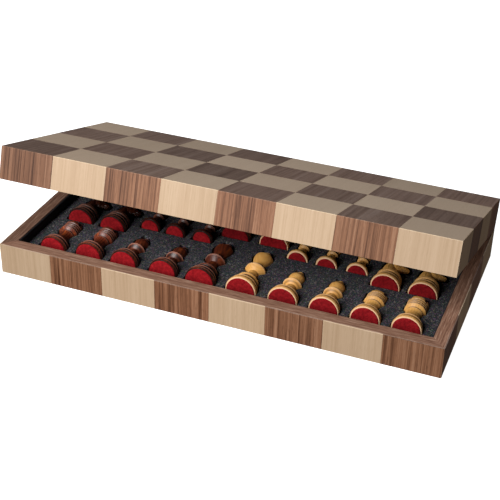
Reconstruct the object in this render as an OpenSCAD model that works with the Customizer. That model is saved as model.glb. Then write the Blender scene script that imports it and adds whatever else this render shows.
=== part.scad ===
// Folding chess case: two shallow halves hinged along the back edge.
// The outer faces carry the squares of the playing board. The tray half holds
// a foam insert with a pocket for each chessman, the lid half a soft pad.
// Origin: middle of the tray's underside. +X right, +Y back, +Z up. Millimetres.

/* [Case] */
// Side of one board square
square = 50; // [47:0.5:54]
// Outer height of each half
half_h = 29.1; // [28.5:0.1:31]
// Thickness of the frame walls, without their veneer
wall_t = 11.2; // [10:0.2:12.4]
// Thickness of the plywood panels
panel_t = 3.2; // [2.6:0.2:3.4]
// Thickness of the walnut and maple veneer
veneer_t = 0.8; // [0.6:0.1:1]
// Angle that the lid stands open, degrees
lid_open = 17.6; // [0:0.1:180]

/* [Inside] */
// Height of the foam insert's top face above the tray's underside
foam_top = 20; // [19.5:0.1:21]
// Thickness of the lid's foam pad
pad_t = 14; // [6:1:14]
// Thickness of the black lining on the inner walls
lining_t = 1; // [0.6:0.2:1.2]
// Room between a chessman and its pocket
pocket_gap = 0.8; // [0.5:0.1:1.2]
// Sideways offset of the whole pocket layout
layout_shift = 0; // [-1:0.1:1]
// How far the chessmen's axes lie below the foam's top face
sink = 0.7; // [0:0.1:1.2]

/* [Hinges] */
// Distance of each hinge from the middle, in squares
hinge_at = 2.5; // [1.5:0.5:2.5]
// Length of a hinge along the back edge
hinge_w = 40; // [32:1:44]
// Thickness of a hinge leaf
leaf_t = 1.2; // [1:0.1:1.4]
// Radius of the hinge knuckles
knuckle_r = 2.5; // [2.3:0.1:2.6]
// Radius of the hinge pins
pin_r = 1.2; // [1:0.1:1.3]

/* [Chessmen] */
// Height of the kings, cross included
king_h = 75; // [70:1:76]
// Thickness of the felt under each base
felt_t = 1; // [0.8:0.1:1.4]
// Width of the bare wood ring around the felt
felt_ring = 1.3; // [0.6:0.1:2]

/* [Hidden] */

// ---- derived sizes ----
seam = 0.1;                       // half of the gap between the closed halves
back_gap = 0.1;                   // half of the gap between the backs when unfolded
crack = 0.05;                     // half of the hairline between two squares
px = 4 * square;                  // half length of the case
y_front = -2 * square;
y_back = 2 * square - back_gap;
pivot_y = 2 * square;
pivot_z = half_h + seam;
floor_z = veneer_t + panel_t;     // inner face of a panel, from the outer face
core_x = px - veneer_t;
core_yf = y_front + veneer_t;
core_yb = y_back - veneer_t;
in_x = core_x - wall_t;           // inner faces of the frame
in_yf = core_yf + wall_t;
in_yb = core_yb - wall_t;
liner_top = half_h - 0.8;
soft_gap = 0.2;
k = square / 50;                  // the chessmen grow with the squares
e = 0.01;
knuckle_gap = 0.15;
cut_r = knuckle_r + 0.3;          // round relief in both halves along the pivot
leaf_in = 10;                     // leaf edge, from the pivot axis
leaf_out = knuckle_r + 0.5;
mid_half = 6.85;                  // half length of the lid leaf's knuckle
screw_y = 6.5;                    // screw line, from the pivot axis
screw_x = hinge_w / 2 - 7;
bore_clear = 0.05;
$fn = 48;

// ---- chessmen: where they lie ----
// each: [squares right of the middle, base plane in squares from the front,
// height of the axis above its usual level in mm, head-down tilt in degrees]
DARK_ROOKS = [[-3.245, 0.512, -1.9, 0.8], [-2.533, 0.512, 0, 1]];
DARK_BISHOPS = [[-1.851, 0.512, 0, 4.6], [-1.097, 0.512, 0, 4.2]];
DARK_QUEEN = [-0.398, 0.505, 0, 3];
DARK_KNIGHTS = [[-3.239, 1.545, 0, 0], [-2.579, 1.54, 0, 0]];
DARK_KING = [-0.375, 2.12, 0, 0];
DARK_PAWNS = [[-1.935, 1.8, 0.7, 0], [-1.431, 1.79, 0.7, 0], [-0.895, 1.79, 0.7, 0],
              [-3.25, 2.86, 0, 0], [-2.585, 2.86, 0, 0], [-1.99, 2.86, 0, 0],
              [-1.445, 2.86, 0, 0], [-0.904, 2.86, 0, 0]];
LIGHT_ROOKS = [[3.256, 0.516, -0.2, 0.8], [2.55, 0.512, 0, 5.4]];
LIGHT_BISHOPS = [[1.841, 0.51, 0, 2.6], [1.111, 0.51, 0, 2.6]];
LIGHT_QUEEN = [0.359, 0.51, 0, 3];
LIGHT_KNIGHTS = [[3.254, 1.605, 0, 0], [2.593, 1.6, 0, 0]];
LIGHT_KING = [0.37, 2.12, 0, 0];
LIGHT_PAWNS = [[2.014, 1.865, -1.1, 0], [1.454, 1.86, -1.1, 0], [0.912, 1.86, -1.1, 0],
               [3.25, 2.86, 0, 0], [2.585, 2.86, 0, 0], [1.99, 2.86, 0, 0],
               [1.445, 2.86, 0, 0], [0.904, 2.86, 0, 0]];

// radius of each base
ROOK_R = 13.25;
BISHOP_R = 13.5;
QUEEN_R = 14.2;
KING_R = 14.2;
KNIGHT_R = 13.25;
PAWN_R = 10.1;

// ---- lathe profiles: [radius, height above the table] ----
function base_pts(r) = [
    [0, felt_t], [r - 0.6, felt_t], [r - 0.15, felt_t + 0.9], [r, felt_t + 2.2],
    [r - 0.35, felt_t + 3.6], [r - 1.4, felt_t + 4.5], [r - 1.8, felt_t + 5.2],
    [r - 1.15, felt_t + 6], [r - 1, felt_t + 7], [r - 1.7, felt_t + 8.3]];
// the second ring that the kings and queens stand on
function step_pts(r) = [
    [r - 0.2, 12.4], [r - 0.9, 14.2], [r - 1, 15], [r - 0.2, 15.8],
    [r, 16.9], [r - 0.3, 18.1], [r - 1.1, 18.9]];
function ball_pts(r, c, a0, n) =
    [for (i = [0 : n]) let (a = a0 + (90 - a0) * i / n) [r * cos(a), c + r * sin(a)]];

function pawn_pts() = concat([
    [0, felt_t], [PAWN_R - 0.5, felt_t], [PAWN_R, felt_t + 1.2], [PAWN_R - 0.1, felt_t + 2.4],
    [PAWN_R - 0.8, felt_t + 3.4], [PAWN_R - 1.5, felt_t + 4], [PAWN_R - 1.3, felt_t + 5],
    [PAWN_R - 1.9, felt_t + 6.2], [6.2, 9.6], [4.6, 12.4], [3.7, 15.4], [3.4, 18.6],
    [5.3, 19.6], [5.4, 20.4], [4.8, 21.3], [3.4, 22]],
    ball_pts(6, 27.2, -55, 9));
function bishop_pts() = concat(base_pts(BISHOP_R), [
    [9.6, 11.4], [7.4, 13.6], [5.8, 16.8], [4.9, 20.8], [4.7, 24.2], [6.8, 25.3],
    [8.5, 26.6], [8.8, 27.4], [8.3, 28.1], [6.4, 28.8], [4.9, 29.7], [5, 30.8],
    [6.5, 33.8], [7.3, 37], [7.5, 39.6], [6.4, 43.4], [4.2, 46.1], [2.2, 47.3],
    [1.7, 47.7], [2.3, 48.4], [2.5, 49.3], [2.1, 50.3], [1.1, 50.9], [0, 51]]);
function queen_pts() = concat(base_pts(QUEEN_R), step_pts(10.6), [
    [7.4, 20.2], [5.9, 23.4], [5.1, 28], [5, 32.4],
    [7.4, 34.4], [9.6, 36.4], [9.8, 37.4], [8, 38.5], [5.6, 39.4], [5.2, 40.4],
    [6.4, 41.2], [6.4, 42.2], [5.4, 43], [5.6, 45], [7.2, 49.5], [8.8, 54],
    [9.6, 58], [9.3, 59.2], [7.6, 61.4], [5.4, 63.4], [3.6, 64.4], [3, 65],
    [3.9, 66.1], [4.1, 67.3], [3.3, 68.8], [1.8, 69.7], [0, 70]]);
king_top = king_h - 10.5;
function king_pts() = concat(base_pts(KING_R), step_pts(10.8), [
    [7.6, 20.4], [6.1, 24], [5.3, 29], [5.2, 34.4],
    [7.6, 36.4], [10.1, 38.4], [10.3, 39.4], [8.2, 40.5], [5.8, 41.4], [5.4, 42.4],
    [6.6, 43.2], [6.6, 44.2], [5.6, 45], [5.9, 47], [7.8, king_top - 11.5],
    [9.2, king_top - 6], [9.4, king_top - 4.6], [8.4, king_top - 3.6],
    [5.4, king_top - 1.4], [2.2, king_top - 0.4], [2, king_top], [0, king_top]]);
function rook_pts() = concat(base_pts(ROOK_R), [
    [9.4, 11], [7.7, 13.6], [6.7, 16.8], [6.2, 20.4], [6.2, 22.8], [6.7, 24.6],
    [7.3, 25.8], [7.2, 26.4], [6.6, 26.9], [6.8, 27.4], [8.3, 28.4], [9.3, 29.4],
    [9.3, 30.4], [8.4, 31], [8.3, 31.5], [8.9, 32.2], [9.1, 34], [9.2, 40.6],
    [9, 41], [6.2, 41], [6.2, 37.6], [0, 37.6]]);
function knight_pts() = concat(base_pts(KNIGHT_R), [
    [10.4, 10.8], [11.3, 12.8], [11.5, 14.5], [11.2, 15.6], [9, 17.5], [7.6, 19.4],
    [0, 19.4]]);
// side view of the horse's head: [towards the muzzle, height]
HORSE = [
    [6.8, 19], [8, 20.6], [7.4, 23], [5.4, 26], [4.8, 28.2], [6.6, 29.4],
    [10.4, 29.8], [13, 31.2], [13.8, 33.8], [12.6, 36.4], [9, 39], [6, 42],
    [4.4, 46], [1.4, 43.4], [-3.2, 41.6], [-7, 37.6], [-9.2, 32.4],
    [-9.6, 26.6], [-8.8, 21.6], [-7.4, 19]];

// ---- pocket outlines: [height, half width] ----
PAWN_PLAN = [[0, PAWN_R], [5.4, PAWN_R], [9.4, 8.7], [13, 5.4], [20, 5.6],
    [24, 6], [30.5, 6], [33.2, 3.4]];
BISHOP_PLAN = [[0, BISHOP_R], [6, BISHOP_R], [10, 12.1], [15, 7.6], [25, 6.8],
    [26.5, 8.8], [30, 8.8], [41, 7.7], [46, 5], [51, 2.8]];
QUEEN_PLAN = [[0, QUEEN_R], [6, QUEEN_R], [11, 11.4], [19, 10.8], [23, 7.4], [31, 7],
    [34.5, 10.1], [40, 10.1], [45, 8], [53, 9.7], [60, 9.7], [64.5, 5.6],
    [70, 4.3]];
KING_PLAN = [[0, KING_R], [6, KING_R], [11, 11.6], [19, 11], [24, 7.6], [33, 7.4],
    [36.5, 10.3], [42, 10.3], [47, 8], [55, 9.4], [61, 9.4], [65, 5.6],
    [king_h, 5.6]];
ROOK_PLAN = [[0, ROOK_R], [6, ROOK_R], [10, 11.6], [14.5, 8.6], [21, 8.6],
    [24, 9.4], [41, 9.4]];

// ---- small helpers ----
module in_x_dir(len, r) rotate([0, 90, 0]) cylinder(h = len, r = r, center = true);
// Lays a standing man on its side: base to the front, head to the back
module lay(p, r) translate([man_x(p), man_y(p), man_z(p, r)])
    rotate([-90 - p[3], 0, 0]) scale(k) children();
module lathe(pts) rotate_extrude() polygon(pts);
// Builds in the frame of a half that lies on its outer face, then turns it into the lid
module as_lid()
    translate([0, pivot_y, pivot_z]) rotate([-lid_open, 0, 0])
        translate([0, -pivot_y, pivot_z]) mirror([0, 0, 1]) children();
function man_x(p) = layout_shift + p[0] * square;
function man_y(p) = (p[1] - 2) * square;
function man_z(p, r) = max(foam_top - sink + p[2], floor_z + k * r + 0.15);

// ---- one half of the case, lying on its outer face ----
module hinge_relief(cx) {
    translate([cx, pivot_y, pivot_z]) in_x_dir(hinge_w + 1.6, cut_r);
    translate([cx - hinge_w / 2 - 0.1, pivot_y - leaf_in - 0.1, half_h - leaf_t])
        cube([hinge_w + 0.2, leaf_in + 1, leaf_t + 1]);
}
module screw_holes(cx)
    for (i = [-1 : 1]) translate([cx + i * screw_x, pivot_y - screw_y, half_h - 9])
        cylinder(h = 12, r = 1.05);
module magnet_holes()
    for (s = [-1, 1]) translate([s * 3 * square, in_yf - 3.1, half_h - 4.3])
        rotate([-90, 0, 0]) cylinder(h = 6, r = 3.05);
module magnets()
    for (s = [-1, 1]) translate([s * 3 * square, in_yf - 3.05, half_h - 4.3])
        rotate([-90, 0, 0]) cylinder(h = 3, r = 3);

module front_wall() difference() {
    translate([0, 0, floor_z]) linear_extrude(half_h - floor_z)
        polygon([[-core_x, core_yf], [core_x, core_yf], [in_x, in_yf], [-in_x, in_yf]]);
    magnet_holes();
}
module back_wall() difference() {
    translate([0, 0, floor_z]) linear_extrude(half_h - floor_z)
        polygon([[-core_x, core_yb], [core_x, core_yb], [in_x, in_yb], [-in_x, in_yb]]);
    for (s = [-1, 1]) {
        hinge_relief(s * hinge_at * square);
        screw_holes(s * hinge_at * square);
    }
}
module side_wall(s)
    translate([0, 0, floor_z]) linear_extrude(half_h - floor_z)
        polygon([[s * core_x, core_yf], [s * core_x, core_yb], [s * in_x, in_yb],
            [s * in_x, in_yf]]);
module panel()
    translate([-core_x, core_yf, veneer_t]) cube([2 * core_x, core_yb - core_yf, panel_t]);
module block(x0, x1, y0, y1, z0, z1) translate([x0, y0, z0]) cube([x1 - x0, y1 - y0, z1 - z0]);

// The squares of one wood: parity 0 or 1. Face squares, then the strips that
// carry each outer square's wood down the four sides.
function xa(i) = -px + i * square + crack;
function xb(i) = -px + (i + 1) * square - crack;
function ya(j) = y_front + j * square + crack;
function yb(j) = min(y_front + (j + 1) * square - crack, y_back);
module squares(parity) {
    for (i = [0 : 7], j = [0 : 3]) if ((i + j) % 2 == parity)
        block(max(xa(i), -core_x + crack), min(xb(i), core_x - crack),
            max(ya(j), core_yf + crack), min(yb(j), core_yb - crack), 0, veneer_t);
    for (i = [0 : 7]) {
        x0 = i == 0 ? -px : xa(i);
        x1 = i == 7 ? px : xb(i);
        if (i % 2 == parity) block(x0, x1, y_front, core_yf, 0, half_h);
        if ((i + 3) % 2 == parity) difference() {
            block(x0, x1, core_yb, y_back, 0, half_h);
            for (s = [-1, 1]) hinge_relief(s * hinge_at * square);
        }
    }
    for (j = [0 : 3]) {
        y0 = j == 0 ? core_yf + crack : ya(j);
        y1 = j == 3 ? core_yb - crack : yb(j);
        if (j % 2 == parity) block(-px, -core_x, y0, y1, 0, half_h);
        if ((j + 7) % 2 == parity) block(core_x, px, y0, y1, 0, half_h);
    }
}
module lining() {
    block(-in_x, in_x, in_yf, in_yf + lining_t, floor_z, liner_top);
    block(-in_x, in_x, in_yb - lining_t, in_yb, floor_z, liner_top);
    for (s = [-1, 1]) translate([s * (in_x - lining_t / 2), 0, 0])
        block(-lining_t / 2, lining_t / 2, in_yf + lining_t + e, in_yb - lining_t - e,
            floor_z, liner_top);
}
module inner_block(z1)
    block(-in_x + lining_t + soft_gap, in_x - lining_t - soft_gap,
        in_yf + lining_t + soft_gap, in_yb - lining_t - soft_gap, floor_z, z1);

// ---- hinge parts, around the pivot axis ----
module leaf_plate() translate([-hinge_w / 2, -leaf_in, -seam - leaf_t])
    cube([hinge_w, leaf_in - leaf_out, leaf_t]);
module leaf_screw_sinks() for (i = [-1 : 1])
    translate([i * screw_x, -screw_y, -seam]) {
        translate([0, 0, -1.1]) cylinder(h = 1.1 + e, r1 = 1.1, r2 = 2.25);
        translate([0, 0, -3]) cylinder(h = 3, r = 1.1);
    }
module tongue(x0, x1) block(x0, x1, -leaf_out - 1, 0, -seam - leaf_t, -seam);
module tray_leaf(cx) translate([cx, pivot_y, pivot_z]) difference() {
    union() {
        leaf_plate();
        for (s = [-1, 1]) {
            m = (hinge_w / 2 + mid_half + 2 * knuckle_gap) / 2;
            w = hinge_w / 2 - mid_half - 2 * knuckle_gap;
            translate([s * m, 0, 0]) {
                in_x_dir(w, knuckle_r);
                tongue(-w / 2, w / 2);
            }
        }
    }
    in_x_dir(hinge_w + 2, pin_r + 0.02);
    leaf_screw_sinks();
}
// The lid's leaf, drawn as if the lid lay on its outer face beside the tray's
module lid_leaf(cx) translate([cx, pivot_y, pivot_z]) difference() {
    union() {
        leaf_plate();
        in_x_dir(2 * mid_half, knuckle_r);
        tongue(-mid_half, mid_half);
    }
    in_x_dir(hinge_w + 2, pin_r + bore_clear);
    leaf_screw_sinks();
}
module hinge_pin(cx) translate([cx, pivot_y, pivot_z]) {
    in_x_dir(hinge_w + 0.2, pin_r);
    for (s = [-1, 1]) translate([s * (hinge_w / 2 + 0.3), 0, 0]) in_x_dir(0.5, pin_r + 0.5);
}
module hinge_screw() difference() {
    union() {
        translate([0, 0, -1.1]) cylinder(h = 1.1, r1 = 1.05, r2 = 2.2);
        translate([0, 0, -8.6]) cylinder(h = 8, r = 1);
        translate([0, 0, -9 + 0.02]) cylinder(h = 0.5, r1 = 0.5, r2 = 1);
    }
    translate([-3, -0.25, -0.4]) cube([6, 0.5, 1]);
}
module hinge_screws() for (s = [-1, 1], i = [-1 : 1])
    translate([s * hinge_at * square + i * screw_x, pivot_y - screw_y, half_h])
        rotate([0, 0, 25 + 40 * i * s]) hinge_screw();

// ---- chessmen ----
WALNUT = [0.42, 0.30, 0.24];
MAPLE = [0.85, 0.74, 0.60];
BOXWOOD = [0.84, 0.65, 0.37];
ROSEWOOD = [0.35, 0.14, 0.08];
BLACK = [0.07, 0.07, 0.08];
CHARCOAL = [0.24, 0.25, 0.27];
BRASS = [0.78, 0.62, 0.30];
STEEL = [0.72, 0.73, 0.75];
FELT = [0.70, 0.08, 0.13];
PLY = [0.62, 0.50, 0.38];
function wood(side) = side > 0 ? BOXWOOD : ROSEWOOD;
module felt(r) color(FELT) cylinder(h = felt_t - 0.02, r = r - felt_ring);
module rook(side, p) lay(p, ROOK_R) {
    color(wood(side)) difference() {
        lathe(rook_pts());
        for (a = [0, 90]) rotate([0, 0, a + 45]) translate([-12, -1.5, 38.2])
            cube([24, 3, 4]);
    }
    felt(ROOK_R);
}
module bishop(side, p) lay(p, BISHOP_R) {
    color(wood(side)) lathe(bishop_pts());
    felt(BISHOP_R);
}
module queen(side, p) lay(p, QUEEN_R) {
    color(wood(side)) lathe(queen_pts());
    felt(QUEEN_R);
}
module king(side, p) lay(p, KING_R) {
    color(wood(side)) {
        lathe(king_pts());
        translate([-1.3, -1.1, king_top - e]) cube([2.6, 2.2, king_h - king_top + e]);
        translate([-4, -1.1, king_top + 4.2]) cube([8, 2.2, 2.6]);
    }
    felt(KING_R);
}
module knight(side, p) lay(p, KNIGHT_R) {
    color(wood(side)) {
        lathe(knight_pts());
        translate([0, 6, 0]) rotate([90, 0, 0]) linear_extrude(12) polygon(HORSE);
    }
    felt(KNIGHT_R);
}
module pawn(side, p) lay(p, PAWN_R) {
    color(wood(side)) lathe(pawn_pts());
    felt(PAWN_R - 0.4);
}

// ---- foam insert with stepped pockets ----
// A pocket's floor; one that would leave only a skin of foam goes right through
function pocket_floor(z) = z < floor_z + 0.35 ? floor_z - 1 : z;
// Outline of a pocket around a lathe-turned man, grown by the pocket gap
function plan_pts(plan, tip) = let (n = len(plan) - 1) concat(
    [for (i = [0 : n]) [k * plan[i][1] + pocket_gap, k * plan[i][0]
        + (i == 0 ? -pocket_gap - tip : i == n ? pocket_gap : 0)]],
    [for (i = [n : -1 : 0]) [-k * plan[i][1] - pocket_gap, k * plan[i][0]
        + (i == 0 ? -pocket_gap - tip : i == n ? pocket_gap : 0)]]);
// r: base radius, shallow: largest radius beyond the base, step: end of the deep part
module pocket(p, plan, r, shallow, step) {
    x = man_x(p);
    y = man_y(p);
    z = man_z(p, r);
    tip = k * r * sin(p[3]);
    drop = plan[len(plan) - 1][0] * k * sin(p[3]);
    translate([x, y, pocket_floor(z - k * shallow - drop - 0.3)]) linear_extrude(40)
        polygon(plan_pts(plan, tip));
    translate([0, 0, pocket_floor(z - k * r - 0.3)]) linear_extrude(40)
        intersection() {
            translate([x, y]) polygon(plan_pts(plan, tip));
            translate([x - 40, y - 5]) square([80, 5 + k * step]);
        }
}
module knight_pocket(p) translate([man_x(p), man_y(p), man_z(p, KNIGHT_R)]) {
    translate([0, 0, -k * 6 - 0.4]) linear_extrude(40) polygon([
        for (q = [[-11, 12], [11, 12], [11, 24], [8, 26], [16, 29], [16, 37],
            [10, 42], [7, 47.5], [0, 47.5], [-9, 42], [-11, 34]]) k * q]);
    translate([0, 0, -k * 11.6 - 0.3]) linear_extrude(40)
        translate([-12.3 * k, 0]) square([24.6 * k, 20 * k]);
    translate([0, 0, -k * KNIGHT_R - 0.3]) linear_extrude(40) polygon([
        for (q = [[-14.05, -0.8], [14.05, -0.8], [14.05, 7], [12.3, 13],
            [-12.3, 13], [-14.05, 7]]) k * q]);
}
module foam() difference() {
    inner_block(foam_top);
    for (p = concat(DARK_ROOKS, LIGHT_ROOKS)) pocket(p, ROOK_PLAN, ROOK_R, 9.4, 13);
    for (p = concat(DARK_BISHOPS, LIGHT_BISHOPS)) pocket(p, BISHOP_PLAN, BISHOP_R, 8.8, 13);
    for (p = [DARK_QUEEN, LIGHT_QUEEN]) pocket(p, QUEEN_PLAN, QUEEN_R, 10.6, 15);
    for (p = [DARK_KING, LIGHT_KING]) pocket(p, KING_PLAN, KING_R, 10.8, 15);
    for (p = concat(DARK_KNIGHTS, LIGHT_KNIGHTS)) knight_pocket(p);
    for (p = concat(DARK_PAWNS, LIGHT_PAWNS)) pocket(p, PAWN_PLAN, PAWN_R, 6, 10);
}

// ---- nodes ----
module tray_front_wall() color(WALNUT) front_wall();
module tray_back_wall() color(WALNUT) back_wall();
module tray_left_wall() color(WALNUT) side_wall(-1);
module tray_right_wall() color(WALNUT) side_wall(1);
module tray_bottom_panel() color(PLY) panel();
module tray_walnut_squares() color(WALNUT) squares(1);
module tray_maple_squares() color(MAPLE) squares(0);
module tray_lining() color(BLACK) lining();
module foam_insert() color(CHARCOAL) foam();
module tray_magnets() color(STEEL) magnets();
module lid_front_wall() color(WALNUT) as_lid() front_wall();
module lid_back_wall() color(WALNUT) as_lid() back_wall();
module lid_left_wall() color(WALNUT) as_lid() side_wall(-1);
module lid_right_wall() color(WALNUT) as_lid() side_wall(1);
module lid_top_panel() color(PLY) as_lid() panel();
module lid_walnut_squares() color(WALNUT) as_lid() squares(0);
module lid_maple_squares() color(MAPLE) as_lid() squares(1);
module lid_lining() color(BLACK) as_lid() lining();
module lid_foam_pad() color(CHARCOAL) as_lid() inner_block(floor_z + pad_t);
module lid_magnets() color(STEEL) as_lid() magnets();
module left_hinge_tray_leaf() color(BRASS) tray_leaf(-hinge_at * square);
module left_hinge_lid_leaf() color(BRASS) as_lid() lid_leaf(-hinge_at * square);
module left_hinge_pin() color(STEEL) hinge_pin(-hinge_at * square);
module right_hinge_tray_leaf() color(BRASS) tray_leaf(hinge_at * square);
module right_hinge_lid_leaf() color(BRASS) as_lid() lid_leaf(hinge_at * square);
module right_hinge_pin() color(STEEL) hinge_pin(hinge_at * square);
module tray_hinge_screws() color(BRASS) hinge_screws();
module lid_hinge_screws() color(BRASS) as_lid() hinge_screws();
module dark_rook_1() rook(-1, DARK_ROOKS[0]);
module dark_rook_2() rook(-1, DARK_ROOKS[1]);
module dark_bishop_1() bishop(-1, DARK_BISHOPS[0]);
module dark_bishop_2() bishop(-1, DARK_BISHOPS[1]);
module dark_queen() queen(-1, DARK_QUEEN);
module dark_knight_1() knight(-1, DARK_KNIGHTS[0]);
module dark_knight_2() knight(-1, DARK_KNIGHTS[1]);
module dark_king() king(-1, DARK_KING);
module dark_pawn_1() pawn(-1, DARK_PAWNS[0]);
module dark_pawn_2() pawn(-1, DARK_PAWNS[1]);
module dark_pawn_3() pawn(-1, DARK_PAWNS[2]);
module dark_pawn_4() pawn(-1, DARK_PAWNS[3]);
module dark_pawn_5() pawn(-1, DARK_PAWNS[4]);
module dark_pawn_6() pawn(-1, DARK_PAWNS[5]);
module dark_pawn_7() pawn(-1, DARK_PAWNS[6]);
module dark_pawn_8() pawn(-1, DARK_PAWNS[7]);
module light_rook_1() rook(1, LIGHT_ROOKS[0]);
module light_rook_2() rook(1, LIGHT_ROOKS[1]);
module light_bishop_1() bishop(1, LIGHT_BISHOPS[0]);
module light_bishop_2() bishop(1, LIGHT_BISHOPS[1]);
module light_queen() queen(1, LIGHT_QUEEN);
module light_knight_1() knight(1, LIGHT_KNIGHTS[0]);
module light_knight_2() knight(1, LIGHT_KNIGHTS[1]);
module light_king() king(1, LIGHT_KING);
module light_pawn_1() pawn(1, LIGHT_PAWNS[0]);
module light_pawn_2() pawn(1, LIGHT_PAWNS[1]);
module light_pawn_3() pawn(1, LIGHT_PAWNS[2]);
module light_pawn_4() pawn(1, LIGHT_PAWNS[3]);
module light_pawn_5() pawn(1, LIGHT_PAWNS[4]);
module light_pawn_6() pawn(1, LIGHT_PAWNS[5]);
module light_pawn_7() pawn(1, LIGHT_PAWNS[6]);
module light_pawn_8() pawn(1, LIGHT_PAWNS[7]);

tray_front_wall();
tray_back_wall();
tray_left_wall();
tray_right_wall();
tray_bottom_panel();
tray_walnut_squares();
tray_maple_squares();
tray_lining();
foam_insert();
tray_magnets();
lid_front_wall();
lid_back_wall();
lid_left_wall();
lid_right_wall();
lid_top_panel();
lid_walnut_squares();
lid_maple_squares();
lid_lining();
lid_foam_pad();
lid_magnets();
left_hinge_tray_leaf();
left_hinge_lid_leaf();
left_hinge_pin();
right_hinge_tray_leaf();
right_hinge_lid_leaf();
right_hinge_pin();
tray_hinge_screws();
lid_hinge_screws();
dark_rook_1();
dark_rook_2();
dark_bishop_1();
dark_bishop_2();
dark_queen();
dark_knight_1();
dark_knight_2();
dark_king();
dark_pawn_1();
dark_pawn_2();
dark_pawn_3();
dark_pawn_4();
dark_pawn_5();
dark_pawn_6();
dark_pawn_7();
dark_pawn_8();
light_rook_1();
light_rook_2();
light_bishop_1();
light_bishop_2();
light_queen();
light_knight_1();
light_knight_2();
light_king();
light_pawn_1();
light_pawn_2();
light_pawn_3();
light_pawn_4();
light_pawn_5();
light_pawn_6();
light_pawn_7();
light_pawn_8();
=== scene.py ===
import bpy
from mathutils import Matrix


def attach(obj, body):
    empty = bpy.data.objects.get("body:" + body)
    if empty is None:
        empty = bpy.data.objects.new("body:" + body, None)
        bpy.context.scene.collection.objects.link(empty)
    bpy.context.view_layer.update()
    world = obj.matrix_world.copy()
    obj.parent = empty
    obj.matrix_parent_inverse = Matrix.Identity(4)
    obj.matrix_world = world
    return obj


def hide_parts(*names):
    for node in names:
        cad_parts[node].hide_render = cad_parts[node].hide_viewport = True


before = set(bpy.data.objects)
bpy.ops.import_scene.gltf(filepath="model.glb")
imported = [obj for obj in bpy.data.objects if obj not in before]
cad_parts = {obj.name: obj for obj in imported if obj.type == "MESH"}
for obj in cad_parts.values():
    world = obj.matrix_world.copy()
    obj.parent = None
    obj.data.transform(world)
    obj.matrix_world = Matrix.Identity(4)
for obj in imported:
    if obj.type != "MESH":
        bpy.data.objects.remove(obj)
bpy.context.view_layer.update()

import math
import bpy
import bmesh
import numpy as np
from mathutils import Matrix, Vector

MM = 0.001
SQ = 50.0
HALF_H = 29.1
WALL_T = 11.2
PANEL_T = 3.2
VENEER_T = 0.8
LID_OPEN = 17.6
FOAM_TOP = 20.0
PAD_T = 14.0
LINING_T = 1.0
POCKET_GAP = 0.8
SINK = 0.7
SEAM = 0.1
CRACK = 0.05
PX = 4 * SQ
Y_FRONT = -2 * SQ
Y_BACK = 2 * SQ - 0.1
PIVOT_Y = 2 * SQ
PIVOT_Z = HALF_H + SEAM
FLOOR_Z = VENEER_T + PANEL_T
CORE_X = PX - VENEER_T
CORE_YF = Y_FRONT + VENEER_T
CORE_YB = Y_BACK - VENEER_T
IN_X = CORE_X - WALL_T
IN_YF = CORE_YF + WALL_T
IN_YB = CORE_YB - WALL_T
FELT_T = 1.0
FELT_RING = 1.3

LID = (Matrix.Translation((0, PIVOT_Y, PIVOT_Z))
       @ Matrix.Rotation(math.radians(-LID_OPEN), 4, "X")
       @ Matrix.Translation((0, -PIVOT_Y, PIVOT_Z))
       @ Matrix.Scale(-1, 4, (0, 0, 1)))


def noise01(*key):
    """A steady number from 0 to 1 for a key of whole numbers."""
    v = 0.0
    for n, k in enumerate(key):
        v += math.sin(k * 12.9898 + n * 78.233 + 1.7) * 43758.5453
    return v - math.floor(v)


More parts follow.
